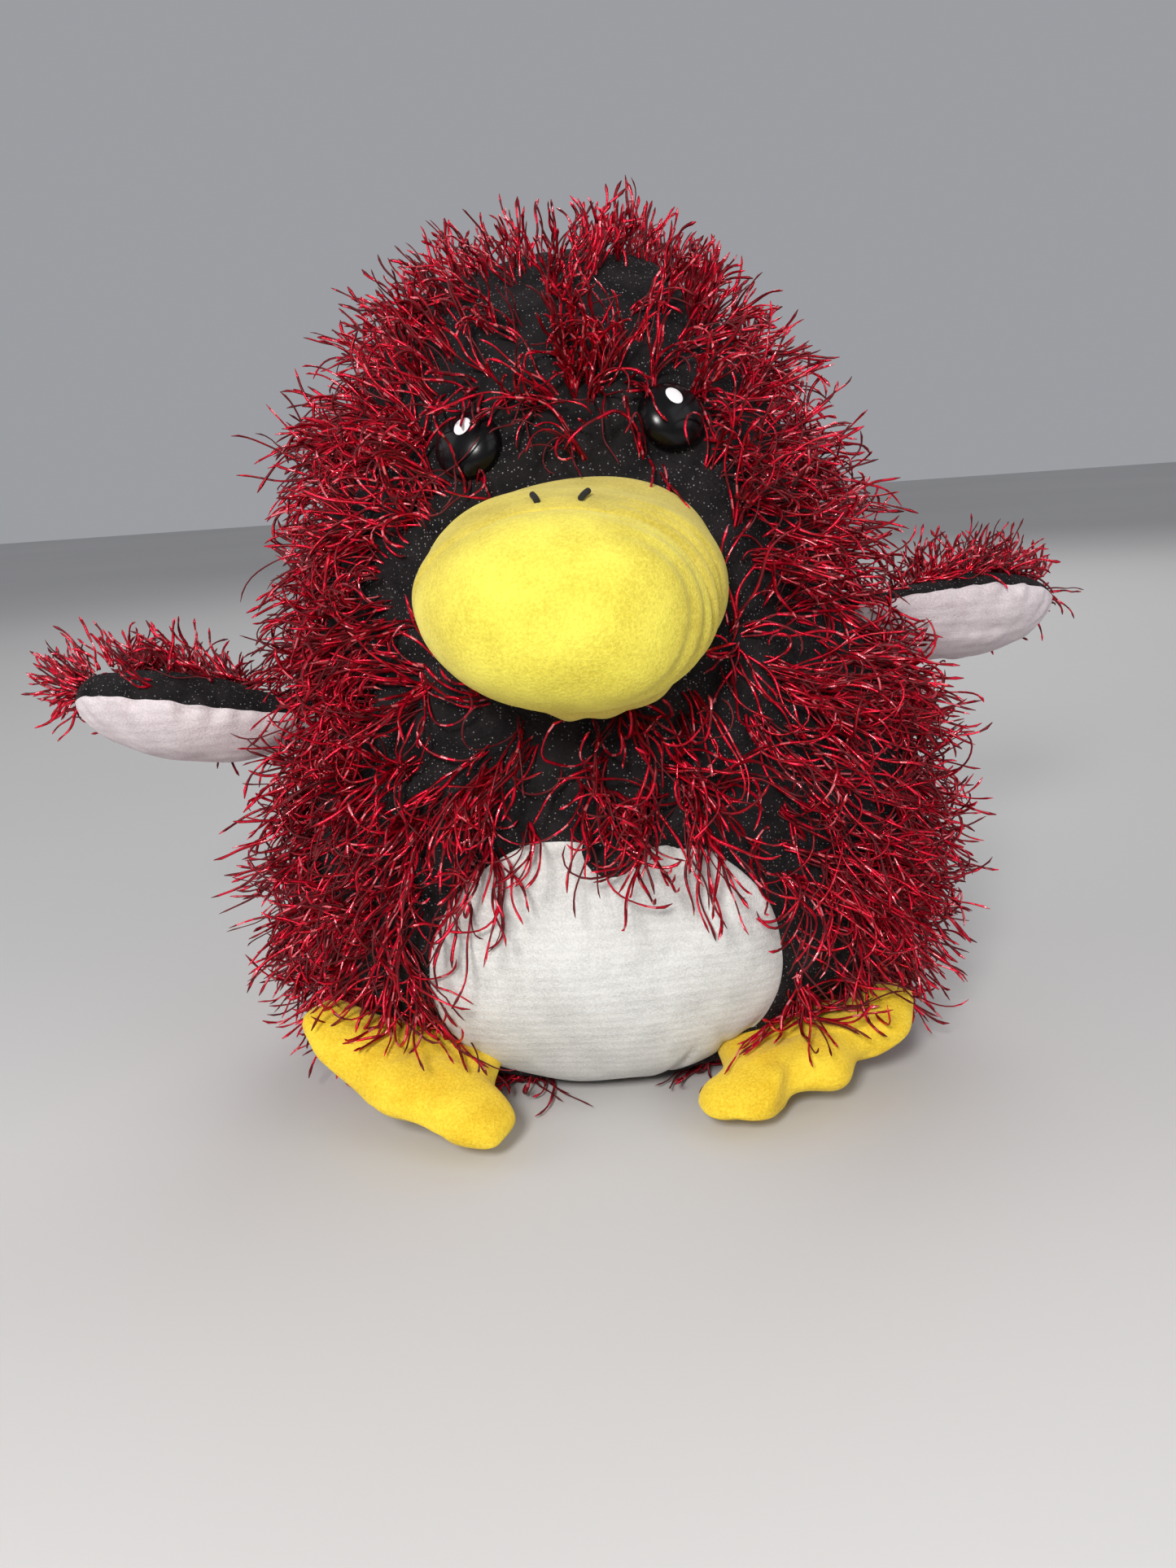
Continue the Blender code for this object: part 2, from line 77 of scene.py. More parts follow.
BEAK_START = np.array((0.0, -17.5, 117.0))
BEAK_SIZE = (29.5, 19.5)
BEAK_LENGTH = 62.0
BEAK_SEAM = 43.0
BEAK_WRINKLES = ((38.2, 1.6), (33.6, 1.3), (47.3, 0.9), (51.5, 0.8))  # place along it, depth
EYE_X, EYE_Z, EYE_TILT, EYE_RADIUS = 20.0, 145.0, 1.5, 6.9
BELLY = (34.0, 38.0, 34.5)  # centre height, half width, half height
WING_LENGTH = 48.5
WING_TOP_RISE = {"left_wing": 13.0, "right_wing": 10.2}
WING_UNDER_RISE = 8.8
FOOT_HALF = 29.0
FOOT_TOP_RISE = 7.4
FOOT_SOLE_RISE = 5.0
LOBE_SPACING = 19.5

YARN_STEPS = 15
BODY_TUFTS = 2600
WING_TUFTS = 95
STRANDS_IN_WING_TUFT = 6
FARTHEST_BACK = 91.5  # how far behind the strands may reach


# Small tools ------------------------------------------------------------------------------


def unit(v):
    return v / np.maximum(np.linalg.norm(v, axis=-1, keepdims=True), 1e-9)


def waves(p, size, seed, count=9):
    """Smooth noise about 0, with features of about this size.

    It is a sum of sine waves in fixed random directions.
    """
    r = np.random.default_rng(seed)
    k = unit(r.normal(size=(count, 3))) * (TAU / size * r.uniform(0.7, 1.4, (count, 1)))
    return np.sin(p @ k.T + r.uniform(0, TAU, count)).sum(-1) / math.sqrt(count / 2)


def dip(x, width):
    return np.exp(-((x / width) ** 2))


def ramp(x, low, high):
    t = np.clip((x - low) / (high - low), 0, 1)
    return t * t * (3 - 2 * t)


def mesh_piece(name, points, quads=None, tris=None, materials=(), slots=None):
    """An object from numpy arrays: points in mm, faces of four and of three.

    slots holds a material index for each face.
    """
    faces = [f for f in (quads, tris) if f is not None and len(f)]
    mesh = bpy.data.meshes.new(name)
    mesh.vertices.add(len(points))
    mesh.vertices.foreach_set("co", (np.asarray(points) * MM).astype(np.float32).ravel())
    corners = np.concatenate([f.ravel() for f in faces]).astype(np.int32)
    sizes = np.concatenate([np.full(len(f), f.shape[1]) for f in faces])
    mesh.loops.add(len(corners))
    mesh.loops.foreach_set("vertex_index", corners)
    mesh.polygons.add(len(sizes))
    starts = np.concatenate([[0], np.cumsum(sizes)[:-1]]).astype(np.int32)
    mesh.polygons.foreach_set("loop_start", starts)
    for material in materials:
        mesh.materials.append(material)
    if slots is not None:
        mesh.polygons.foreach_set("material_index", np.asarray(slots, np.int32))
    mesh.update(calc_edges=True)
    mesh.validate()
    mesh.shade_smooth()
    piece = bpy.data.objects.new(name, mesh)
    bpy.context.scene.collection.objects.link(piece)
    return piece


def loft(rings):
    """Points, quads and triangles of a skin through rings (levels, sides, 3), closed by fans."""
    levels, sides = rings.shape[:2]
    points = rings.reshape(-1, 3)
    at = np.arange(levels * sides).reshape(levels, sides)
    after = np.roll(at, -1, axis=1)
    quads = np.stack([at[:-1], after[:-1], after[1:], at[1:]], -1).reshape(-1, 4)
    tris = []
    for row, turned in ((0, True), (-1, False)):
        centre = len(points)
        points = np.vstack([points, rings[row].mean(0)])
        a, b = (after[row], at[row]) if turned else (at[row], after[row])
        tris.append(np.stack([a, b, np.full(sides, centre)], -1))
    return points, quads, np.concatenate(tris)


def facing_out(points, quads, tris):
    """The faces of a closed skin, turned over if they face inwards."""
    fans = np.concatenate([quads[:, :3], quads[:, [0, 2, 3]], tris])
    a, b, c = points[fans[:, 0]], points[fans[:, 1]], points[fans[:, 2]]
    volume = np.einsum("ij,ij->i", a, np.cross(b, c)).sum()
    return (quads, tris) if volume > 0 else (quads[:, ::-1], tris[:, ::-1])


def loft_piece(name, rings, materials, subdivide=False):
    points, quads, tris = loft(rings)
    piece = mesh_piece(name, points, *facing_out(points, quads, tris), materials)
    if subdivide:
        piece.modifiers.new("finer", "SUBSURF").levels = 1
        graph = bpy.context.evaluated_depsgraph_get()
        finer = bpy.data.meshes.new_from_object(piece.evaluated_get(graph))
        piece.modifiers.clear()
        piece.data = finer
        finer.shade_smooth()
    return piece


def stuffed(rings, held, pressure):
    """The rings as a cloth skin puffed out by its filling, held fast where held is 1.

    The cloth solver is made for metres, so the skin is simulated at ten times its size.
    """
    points, quads, tris = loft(rings)
    skin = mesh_piece("stuffing", points * SIM_SCALE, *facing_out(points, quads, tris))
    group = skin.vertex_groups.new(name="held")
    weights = np.concatenate([held.ravel(), np.ones(2)])
    for weight in np.unique(weights[weights > 0]):
        group.add(np.nonzero(weights == weight)[0].tolist(), float(weight), "REPLACE")
    cloth = skin.modifiers.new("cloth", "CLOTH")
    cloth.collision_settings.use_collision = False
    settings = cloth.settings
    settings.quality = 6
    settings.mass = 0.02
    settings.tension_stiffness = settings.compression_stiffness = 15
    settings.shear_stiffness = 4.5
    settings.bending_stiffness = 0.1
    settings.vertex_group_mass = "held"
    settings.use_pressure = True
    settings.uniform_pressure_force = pressure
    settings.effector_weights.gravity = 0
    for k in range(1, SIM_FRAMES + 1):
        bpy.context.scene.frame_set(k)
    result = skin.evaluated_get(bpy.context.evaluated_depsgraph_get()).data
    moved = np.empty(len(points) * 3, np.float32)
    result.vertices.foreach_get("co", moved)
    moved = moved.reshape(-1, 3) / MM / SIM_SCALE - points
    reach = np.linalg.norm(moved, axis=1, keepdims=True)
    moved = moved * np.minimum(1, SIM_CAP / np.maximum(reach, 1e-6))
    print("stuffed", len(points), "points, moved at most", round(float(reach.max()), 2), "mm")
    bpy.data.objects.remove(skin)
    bpy.context.scene.frame_set(1)
    return (points + moved)[: rings[..., 0].size].reshape(rings.shape)


# Materials --------------------------------------------------------------------------------


def new_material(name, colour, roughness, metallic=0.0):
    made = bpy.data.materials.new(name)
    made.use_nodes = True
    shader = made.node_tree.nodes["Principled BSDF"]
    shader.inputs["Base Color"].default_value = (*colour, 1)
    shader.inputs["Roughness"].default_value = roughness
    shader.inputs["Metallic"].default_value = metallic
    return made, made.node_tree, shader


def node(tree, kind, settings=(), **values):
    made = tree.nodes.new(kind)
    for key, value in dict(settings).items():
        setattr(made, key, value)
    for key, value in values.items():
        made.inputs[key.replace("_", " ")].default_value = value
    return made


def texture(tree, kind, feature_mm, settings=(), stretch=(1, 1, 1), **values):
    """A texture node in object space whose features are about this many millimetres across."""
    where = node(tree, "ShaderNodeTexCoord")
    scale = node(tree, "ShaderNodeMapping", Scale=stretch)
    made = node(tree, kind, settings, Scale=1000.0 / feature_mm, **values)
    tree.links.new(where.outputs["Object"], scale.inputs["Vector"])
    tree.links.new(scale.outputs["Vector"], made.inputs["Vector"])
    return made


def colour_ramp(tree, source, stops):
    made = node(tree, "ShaderNodeValToRGB")
    while len(made.color_ramp.elements) < len(stops):
        made.color_ramp.elements.new(0.5)
    for element, (place, colour) in zip(made.color_ramp.elements, stops):
        element.position = place
        element.color = (*colour, 1) if len(colour) == 3 else colour
    tree.links.new(source, made.inputs["Fac"])
    return made.outputs["Color"]


def mix(tree, first, second, share):
    made = node(tree, "ShaderNodeMix", {"data_type": "RGBA"})
    for value, socket in ((share, 0), (first, 6), (second, 7)):
        if isinstance(value, bpy.types.NodeSocket):
            tree.links.new(value, made.inputs[socket])
        else:
            made.inputs[socket].default_value = value if socket == 0 else (*value, 1)
    return made.outputs[2]


def maths(tree, operation, *values):
    made = node(tree, "ShaderNodeMath", {"operation": operation})
    for k, value in enumerate(values):
        if isinstance(value, bpy.types.NodeSocket):
            tree.links.new(value, made.inputs[k])
        else:
            made.inputs[k].default_value = value
    return made.outputs[0]


def bump(tree, shader, height, strength, distance_mm, after=None):
    made = node(tree, "ShaderNodeBump", Strength=strength, Distance=distance_mm * MM)
    tree.links.new(height, made.inputs["Height"])
    if after is not None:
        tree.links.new(after, made.inputs["Normal"])
    tree.links.new(made.outputs["Normal"], shader.inputs["Normal"])
    return made.outputs["Normal"]


def knit_material():
    """Near-black knit with faint grey flecks: its glitter, partly the fibres' own colour and
    partly a painted glint.
    """
    made, tree, shader = new_material("knit_black", (0.01, 0.009, 0.01), 0.92)
    cloud = texture(tree, "ShaderNodeTexNoise", 6.0, Detail=4.0)
    base = colour_ramp(
        tree,
        cloud.outputs["Fac"],
        [(0.35, (0.004, 0.0035, 0.004)), (0.7, (0.016, 0.013, 0.014))],
    )
    # Painted glint: pale grey specks for the glitter's sparkle, partly the glitter's own colour.
    cell = texture(tree, "ShaderNodeTexVoronoi", 0.62)
    core = maths(tree, "LESS_THAN", cell.outputs["Distance"], 0.24)
    apart = node(tree, "ShaderNodeSeparateColor")
    tree.links.new(cell.outputs["Color"], apart.inputs["Color"])
    chosen = maths(tree, "GREATER_THAN", apart.outputs["Red"], 0.45)
    strength = maths(tree, "MULTIPLY", apart.outputs["Green"], 0.8)
    glitter_glint = maths(tree, "MULTIPLY", maths(tree, "MULTIPLY", core, chosen), strength)
    colour = mix(tree, base, (0.34, 0.31, 0.32), glitter_glint)
    tree.links.new(colour, shader.inputs["Base Color"])
    rows = texture(tree, "ShaderNodeTexVoronoi", 1.0, stretch=(1, 1, 1.5))
    fuzz = texture(tree, "ShaderNodeTexNoise", 0.35, Detail=3.0)
    first = bump(tree, shader, rows.outputs["Distance"], 0.7, 0.5)
    bump(tree, shader, fuzz.outputs["Fac"], 0.6, 0.35, first)
    shader.inputs["Specular IOR Level"].default_value = 0.25
    return made


def pile_material(name, low, high, pile_mm, row_mm=0.0, tint=(1, 1, 1), painted_highlight=False):
    """Brushed pile with painted highlights: pale specks where its hair ends glisten.

    It may have faint knitted rows, or a painted pool of light: brighter pile round one point, as
    if lit most there.
    """
    made, tree, shader = new_material(name, high, 0.9)
    fine = texture(tree, "ShaderNodeTexNoise", pile_mm, Detail=4.0, Roughness=0.7)
    broad = texture(tree, "ShaderNodeTexNoise", pile_mm * 14, Detail=2.0)
    level = maths(
        tree,
        "ADD",
        maths(tree, "MULTIPLY", fine.outputs["Fac"], 0.6),
        maths(tree, "MULTIPLY", broad.outputs["Fac"], 0.4),
    )
    colour = colour_ramp(tree, level, [(0.36, low), (0.6, high)])
    height = fine.outputs["Fac"]
    if row_mm:
        rows = texture(
            tree,
            "ShaderNodeTexWave",
            row_mm * 6.28,
            {"bands_direction": "Z"},
            Distortion=1.2,
            Detail=2.0,
        )
        rows.inputs["Detail Scale"].default_value = 3.0
        colour = mix(tree, colour, low, maths(tree, "MULTIPLY", rows.outputs["Fac"], 0.12))
        height = maths(tree, "ADD", height, maths(tree, "MULTIPLY", rows.outputs["Fac"], 0.25))
    # Painted highlight: the pile is brighter round a centre point and fades out over 36 mm, a
    # pool of light painted into its colour.
    if painted_highlight:
        where = node(tree, "ShaderNodeTexCoord").outputs["Object"]
        away = node(tree, "ShaderNodeVectorMath", {"operation": "DISTANCE"})
        tree.links.new(where, away.inputs[0])
        away.inputs[1].default_value = tuple(c * MM for c in BEAK_HIGHLIGHT_CENTRE)
        reach = maths(tree, "DIVIDE", away.outputs["Value"], 36.0 * MM)
        bright = colour_ramp(tree, reach, [(0.30, (1, 1, 1)), (0.80, (0, 0, 0))])
        fade = node(tree, "ShaderNodeRGBToBW")
        tree.links.new(bright, fade.inputs["Color"])
        lit_pile = colour_ramp(tree, level, [(0.36, (0.62, 0.52, 0.05)), (0.62, (0.86, 0.77, 0.10))])
        colour = mix(tree, colour, lit_pile, maths(tree, "MULTIPLY", fade.outputs[0], 0.9))
    # Painted highlight: pale specks that stand for light glistening on the hair ends.
    tips = texture(tree, "ShaderNodeTexVoronoi", 0.45)
    tip = maths(tree, "LESS_THAN", tips.outputs["Distance"], 0.2)
    pale = tuple(min(1.0, c * 1.15 + 0.06) for c in high)
    colour = mix(tree, colour, pale, maths(tree, "MULTIPLY", tip, 0.6))
    tree.links.new(colour, shader.inputs["Base Color"])
    bump(tree, shader, height, 0.7, 0.45)
    shader.inputs["Sheen Weight"].default_value = 0.35
    shader.inputs["Sheen Roughness"].default_value = 0.4
    shader.inputs["Sheen Tint"].default_value = (*tint, 1)
    shader.inputs["Specular IOR Level"].default_value = 0.2
    return made


def yarn_material(name, colour, roughness, metallic):
    """A filament: one red, with fine grain that breaks up its gloss; the glint red is a painted
    highlight, not a dye.
    """
    made, tree, shader = new_material(name, colour, roughness, metallic)
    fine = texture(tree, "ShaderNodeTexNoise", 0.25, Detail=2.0)
    bump(tree, shader, fine.outputs["Fac"], 0.5, 0.12)
    return made


def plain_material(name, colour, roughness, grain_mm=0.3, depth=0.03, mottle=0.08):
    """Moulded plastic or thread: fine grain in the surface and a slight unevenness of colour."""
    made, tree, shader = new_material(name, colour, roughness)
    cloud = texture(tree, "ShaderNodeTexNoise", grain_mm * 8, Detail=3.0)
    darker = tuple(c * (1 - mottle) for c in colour)
    tree.links.new(
        colour_ramp(tree, cloud.outputs["Fac"], [(0.3, darker), (0.7, colour)]),
        shader.inputs["Base Color"],
    )
    grain = texture(tree, "ShaderNodeTexNoise", grain_mm, Detail=2.0)
    bump(tree, shader, grain.outputs["Fac"], 0.3, depth)
    return made


KNIT = knit_material()
# Centre of the painted highlight on the beak's face.
BEAK_HIGHLIGHT_CENTRE = (-6.0, -79.0, 112.0)
VELOUR = pile_material("velour_white", (0.56, 0.56, 0.54), (0.78, 0.78, 0.75), 0.5, 1.1)
LINING = pile_material(
    "velour_pink", (0.60, 0.52, 0.54), (0.80, 0.72, 0.74), 0.5, 1.2, tint=(1, 0.9, 0.93)
)
FOOT_FLEECE = pile_material(
    "fleece_foot", (0.72, 0.44, 0.015), (0.95, 0.69, 0.05), 0.6, 1.6, tint=(1, 0.85, 0.4)
)
# The beak's face carries the painted pool of light.
BEAK_FLEECE = pile_material(
    "fleece_beak", (0.56, 0.43, 0.045), (0.78, 0.66, 0.09), 0.6, tint=(1, 0.95, 0.5), painted_highlight=True
)
# Painted shade: a darker copy of the beak's fleece for the gusset round the side of the bulb.
BEAK_SIDE_SHADED = pile_material(
    "fleece_beak_side_shaded", (0.50, 0.38, 0.04), (0.74, 0.60, 0.09), 0.6, tint=(1, 0.95, 0.5)
)
# Bright, red and deep are partly the yarn's own reds and partly lit and shaded copies of one red:
# painted highlight and shade.
YARNS = [
    yarn_material("yarn_bright", (0.80, 0.008, 0.040), 0.27, 0.65),
    yarn_material("yarn_red", (0.38, 0.002, 0.014), 0.34, 0.6),
    yarn_material("yarn_deep", (0.14, 0.001, 0.006), 0.5, 0.4),
    # Painted highlight: a pink-red glint colour.
    yarn_material("yarn_glint", (1.0, 0.22, 0.26), 0.2, 0.6),
    yarn_material("yarn_wisp", (0.10, 0.0012, 0.005), 0.75, 0.0),
]
EYE_BLACK = plain_material("eye_black", (0.003, 0.003, 0.0035), 0.22, depth=0.004)
EYE_BLACK.node_tree.nodes["Principled BSDF"].inputs["Specular IOR Level"].default_value = 0.22
SPOT_WHITE = plain_material("spot_white", (0.88, 0.87, 0.88), 0.3)
WASHER = plain_material("washer_plastic", (0.80, 0.80, 0.78), 0.5)
THREAD = plain_material("thread_black", (0.015, 0.014, 0.014), 0.7, 0.2, 0.08, 0.5)


# Places -----------------------------------------------------------------------------------


def joint_frame(name, outward_hint):
    """Origin in mm and axes (outward, across, up) of a limb, from its joint in the record."""
    joint = next(j for j in frame["joints"] if j["name"] == name)
    across = -np.array(joint["axis"], float)
    outward = np.array(outward_hint, float)
    outward = unit(outward - (outward @ across) * across)
    return np.array(joint["pos_m"]) / MM, np.stack([outward, across, np.cross(outward, across)])


LIMBS = {
    "left_wing": (*joint_frame("left_wing_flap", (-0.9576, -0.2746, 0.0872)), 7.0),
    "right_wing": (*joint_frame("right_wing_flap", (0.9607, 0.2755, -0.0349)), 0.0),
    "left_foot": (*joint_frame("left_foot_lift", (-0.5393, -0.8305, -0.1392)), 0.0),
    "right_foot": (*joint_frame("right_foot_lift", (0.4951, -0.8576, -0.1392)), 0.0),
}


# Body -------------------------------------------------------------------------------------


def half_width(z):
    z = np.asarray(z, float)
    high = np.clip((z - WIDEST_Z) / (TOP_Z - WIDEST_Z), 0, 1)
    low = np.clip((WIDEST_Z - z) / LOW_REACH, 0, 1)
    return HALF_WIDTH * np.where(
        z >= WIDEST_Z, (1 - high**1.4) ** (1 / 2.5), (1 - low**3.2) ** 0.5
    )


def egg(angle, z):
    width = half_width(z)
    x, y = width * np.sin(angle), BODY_Y - DEPTH * width * np.cos(angle)
    return np.stack(np.broadcast_arrays(x, y, np.asarray(z, float)), -1)


def egg_normal(angle, z):
    z = np.clip(z, 0.5, TOP_Z - 0.6)
    round_ways = egg(angle + 0.01, z) - egg(angle - 0.01, z)
    return unit(np.cross(round_ways, egg(angle, z + 0.4) - egg(angle, z - 0.4)))


def in_belly(p):
    """0 at the belly panel's middle, 1 at its edge, more outside it or behind."""
    centre, wide, high = BELLY
    share = np.hypot(p[..., 0] / wide, (p[..., 2] - centre) / high)
    return np.where(p[..., 1] < BODY_Y, share, 9.0)


def relief(p):
    """How far the stuffed cover stands off the plain egg.

    Lumps, hollows at the wings, flanks that lean, the middle seam and a seat for the belly.
    """
    x, z = p[..., 0], p[..., 2]
    out = 0.8 * waves(p, 48, 1) + 0.3 * waves(p, 15, 2)
    out = out * ramp(z, 2, 20)
    for limb in ("left_wing", "right_wing"):
        out = out - 2.6 * dip(np.linalg.norm(p - LIMBS[limb][0], axis=-1), 24)
    out = out - 6.0 * ramp(-x, 20, 70) * ramp(z, 12, 40) * ramp(150 - z, 0, 40)
    out = out - 6.0 * ramp(x, 20, 60) * ramp(z, 75, 110) * ramp(178 - z, 0, 30)
    out = out + 2.0 * ramp(x, 30, 70) * ramp(z, 8, 30) * ramp(80 - z, 0, 30)
    seam = np.where(in_belly(p) < 1, 0, 1)
    out = out - 1.1 * dip(x, 1.4) * seam
    return out - 1.6 * (1 - ramp(in_belly(p), 0.93, 1.03))


def body_skin(angle, z, out=0.0):
    p = egg(angle, z)
    return p + egg_normal(angle, z) * (relief(p) + out)[..., None]


def build_body():
    sides, levels = 280, 150
    angle = np.arange(sides) * TAU / sides
    z = TOP_Z * (1 - np.cos(np.pi * (np.arange(levels) + 0.25) / levels)) / 2
    rings = body_skin(angle[None, :], z[:, None] * np.ones((1, sides)))
    rings[..., 2] = np.maximum(rings[..., 2], 0.4)
    skin = loft_piece("body_skin", rings, [KNIT])
    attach(skin, "torso")
    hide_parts("cover_left", "cover_right", "body_fill", "pellet_bag")

    wide = float(half_width(0.0)) - 2.0
    shares = [(0.0, 0.3), (0.9, 0.0), (0.985, 0.0), (1.0, 0.35), (1.0, 0.9), (0.97, 1.2)]
    rings = np.array(
        [
            np.stack(
                [
                    wide * s * np.sin(angle[::4]),
                    BODY_Y - DEPTH * wide * s * np.cos(angle[::4]),
                    np.full(sides // 4, h),
                ],
                -1,
            )
            for s, h in shares[1:]
        ]
    )
    base = loft_piece("base_skin", rings, [KNIT])
    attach(base, "torso")
    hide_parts("base_panel")


def build_belly():
    centre, wide, high = BELLY
    sides, levels = 220, 46
    turn = np.arange(sides)[None, :] * TAU / sides
    share = np.sin(np.linspace(0, np.pi / 2, levels + 1)[1:])[:, None]

    def sheet(out_of):
        x = wide * share * np.sin(turn)
        z = np.maximum(centre + high * share * np.cos(turn), 0.9)
        width = half_width(z)
        angle = np.arcsin(np.clip(x / width, -0.98, 0.98))
        p = egg(angle, z)
        return p + egg_normal(angle, z) * (out_of(p, x, z) + 0 * share)[..., None]

    def front(p, x, z):
        out = 2.0 * (1 - share**5) ** 0.6 - 1.0 + 0.5 * waves(p, 30, 5)
        pucker = waves(np.stack([9 * turn + 0 * share, 6 * share + 0 * turn, 0 * x], -1), 5.0, 6)
        out = out + 0.35 * pucker * dip(1 - share, 0.09) * (1 - dip(1 - share, 0.02))
        fold = np.hypot((x - 14 - 0.5 * (z - 8)) / 1.3, (z - 7) / 7.5)
        second = np.hypot((x - 25 + 0.2 * (z - 12)) / 1.6, (z - 13) / 6)
        return out - 1.3 * np.exp(-(fold**2)) - 0.9 * np.exp(-(second**2))

    outer = sheet(front)
    inner = sheet(lambda p, x, z: np.full(x.shape, -2.6))
    belly = loft_piece("belly_skin", np.concatenate([outer, inner[::-1]]), [VELOUR])
    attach(belly, "torso")
    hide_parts("belly_panel")


# Beak -------------------------------------------------------------------------------------

BEAK_TURNED = np.array(
    Matrix.Rotation(math.radians(-4), 3, "Z")
    @ Matrix.Rotation(math.radians(4), 3, "X")
    @ Matrix.Rotation(math.pi / 2, 3, "X")
)


def beak_surface(along, angle, out=0.0):
    """The bulb at this distance along it and this angle round it, from its top towards +X."""
    along, angle = np.broadcast_arrays(np.asarray(along, float), angle)
    dome = np.maximum(0.0, 1 - (np.clip(along, 0, BEAK_LENGTH) / BEAK_LENGTH) ** 5) ** (1 / 2.2)
    across, up = np.sin(angle), np.cos(angle)
    right = ramp(across, 0.1, 0.75)
    low = ramp(-up, 0.5, 0.95) * ramp(across, -0.35, 0.1) * (1 - ramp(across, 0.45, 0.8))
    fade = ramp(BEAK_LENGTH - along, 0.0, 4.0)
    out = out - 1.3 * dip(along - BEAK_SEAM, 1.3)
    out = out + 0.5 * waves(np.stack([12 * across, 12 * up, along], -1), 19, 21) * fade
    wander = 0.8 * np.sin(3 * angle + 1.0)
    for place, deep in BEAK_WRINKLES:
        out = out - deep * right * dip(along - place - wander, 1.2)
    lip = dip(along - 33.0, 8.0) * low
    pleats = 0.8 * np.sin(angle * 26) * dip(across + 0.08, 0.25)
    out = out + lip * (3.2 + pleats)
    # Only the part of the offset that is square to the axis widens the section.
    width = np.maximum(BEAK_SIZE[0] * dome + out * fade, 0.0)
    height = np.maximum(BEAK_SIZE[1] * dome + out * fade, 0.0)
    local = np.stack(
        [
            width * np.sign(across) * np.abs(across) ** 0.95,
            height * np.sign(up) * np.abs(up) ** 0.95,
            along,
        ],
        -1,
    )
    return local @ BEAK_TURNED.T + BEAK_START


def build_beak():
    sides = 144
    turn = (np.arange(sides) * TAU / sides)[None, :]
    gusset = np.concatenate([np.linspace(6, 30, 8), np.linspace(31, BEAK_SEAM, 19)])
    front = BEAK_SEAM + (BEAK_LENGTH - BEAK_SEAM) * np.sin(np.linspace(0, np.pi / 2, 32))[:-1]
    along = np.concatenate([gusset, front[1:]])[:, None]
    held = np.where(along < 24, 1.0, 0.0) * np.ones((1, sides))
    skin = stuffed(beak_surface(along, turn), held, BEAK_PRESSURE)
    rim = len(gusset)
    closed = np.concatenate([skin[:rim], beak_surface(BEAK_SEAM + 0.2, turn, -6.0)])
    side = loft_piece("beak_side", closed, [BEAK_SIDE_SHADED], subdivide=True)
    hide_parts("beak_gusset", "beak_fill")
    closed = np.concatenate([beak_surface(BEAK_SEAM - 0.1, turn, -5.0), skin[rim - 1 :]])
    face = loft_piece("beak_face", closed, [BEAK_FLEECE], subdivide=True)
    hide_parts("beak_front")
    for piece in (side, face):
        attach(piece, "torso")


# Eyes -------------------------------------------------------------------------------------


def eye_matrix(sign):
    z = EYE_Z + sign * EYE_TILT
    angle = math.asin(sign * EYE_X / float(half_width(z)))
    here = Vector(egg(np.array(angle), z))
    outward = Vector(egg_normal(np.array(angle), np.array(z)))
    turned = outward.to_track_quat("Z", "Y").to_matrix().to_4x4()
    return Matrix.Translation(here * MM) @ turned


def turned_rings(profile, sides):
    turn = np.arange(sides) * TAU / sides
    return np.array(
        [
            np.stack([r * np.sin(turn), r * np.cos(turn), np.full(sides, h)], -1)
            for r, h in profile
        ]
    )


# Share of the spot's radius, and height over the dome.
SPOT_PROFILE = ((0.25, 0.14), (0.6, 0.14), (0.9, 0.13), (1.0, 0.07), (1.0, -0.2), (0.5, -0.2))


def build_eyes():
    seat, rise = 1.2, 3.8
    arc = [math.pi / 2 * k / 18 for k in range(1, 19)]
    dome = [(EYE_RADIUS * math.sin(a), seat + rise * math.cos(a)) for a in arc]
    rim = [(EYE_RADIUS + 0.05, seat - 0.3), (EYE_RADIUS - 0.25, seat - 0.6), (2.0, seat - 0.7)]
    profile = [*dome, *rim, (2.0, -9.0), (1.6, -9.3)]
    for side, sign in (("left", -1), ("right", 1)):
        place = eye_matrix(sign)
        eye = loft_piece(f"eye_dome_{side}", turned_rings(profile, 64), [EYE_BLACK])
        eye.matrix_world = place
        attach(eye, "torso")
        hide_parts(f"eye_{side}")

        # The spot is an oval printed on the dome: a thin skin that follows it.
        turn = np.arange(48) * TAU / 48
        lean = sign * math.radians(25)
        rings = []
        for share, lift in SPOT_PROFILE:
            u, v = 1.55 * share * np.sin(turn), 2.0 * share * np.cos(turn)
            x = u * math.cos(lean) - v * math.sin(lean)
            y = u * math.sin(lean) + v * math.cos(lean) + 2.7
            reach = np.clip(1 - (x**2 + y**2) / EYE_RADIUS**2, 0, 1)
            rings.append(np.stack([x, y, seat + rise * np.sqrt(reach) + lift], -1))
        spot = loft_piece(f"eye_printed_spot_{side}", np.array(rings), [SPOT_WHITE])
        spot.matrix_world = place
        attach(spot, "torso")
        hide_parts(f"eye_spot_{side}")


# Limbs ------------------------------------------------------------------------------------

# How the soft limbs sag from where they are sewn: shortened, shifted, outer toes propped up.
SHORTEN = {
    "left_wing": (0.93, 1.0),
    "right_wing": (1.0, 1.0),
    "left_foot": (1.0, 0.91),
    "right_foot": (1.0, 1.0),
}
SETTLE = {
    "left_wing": (-2.5, 0, -2.5),
    "right_wing": (0, 0, -2.2),
    "left_foot": (0, 0, 0),
    "right_foot": (0, 0, 0),
}
PROP = {"left_wing": 0.0, "right_wing": 0.0, "left_foot": 8.0, "right_foot": 6.0}
OUTWARD = {"left_wing": 1, "right_wing": 1, "left_foot": -1, "right_foot": 1}

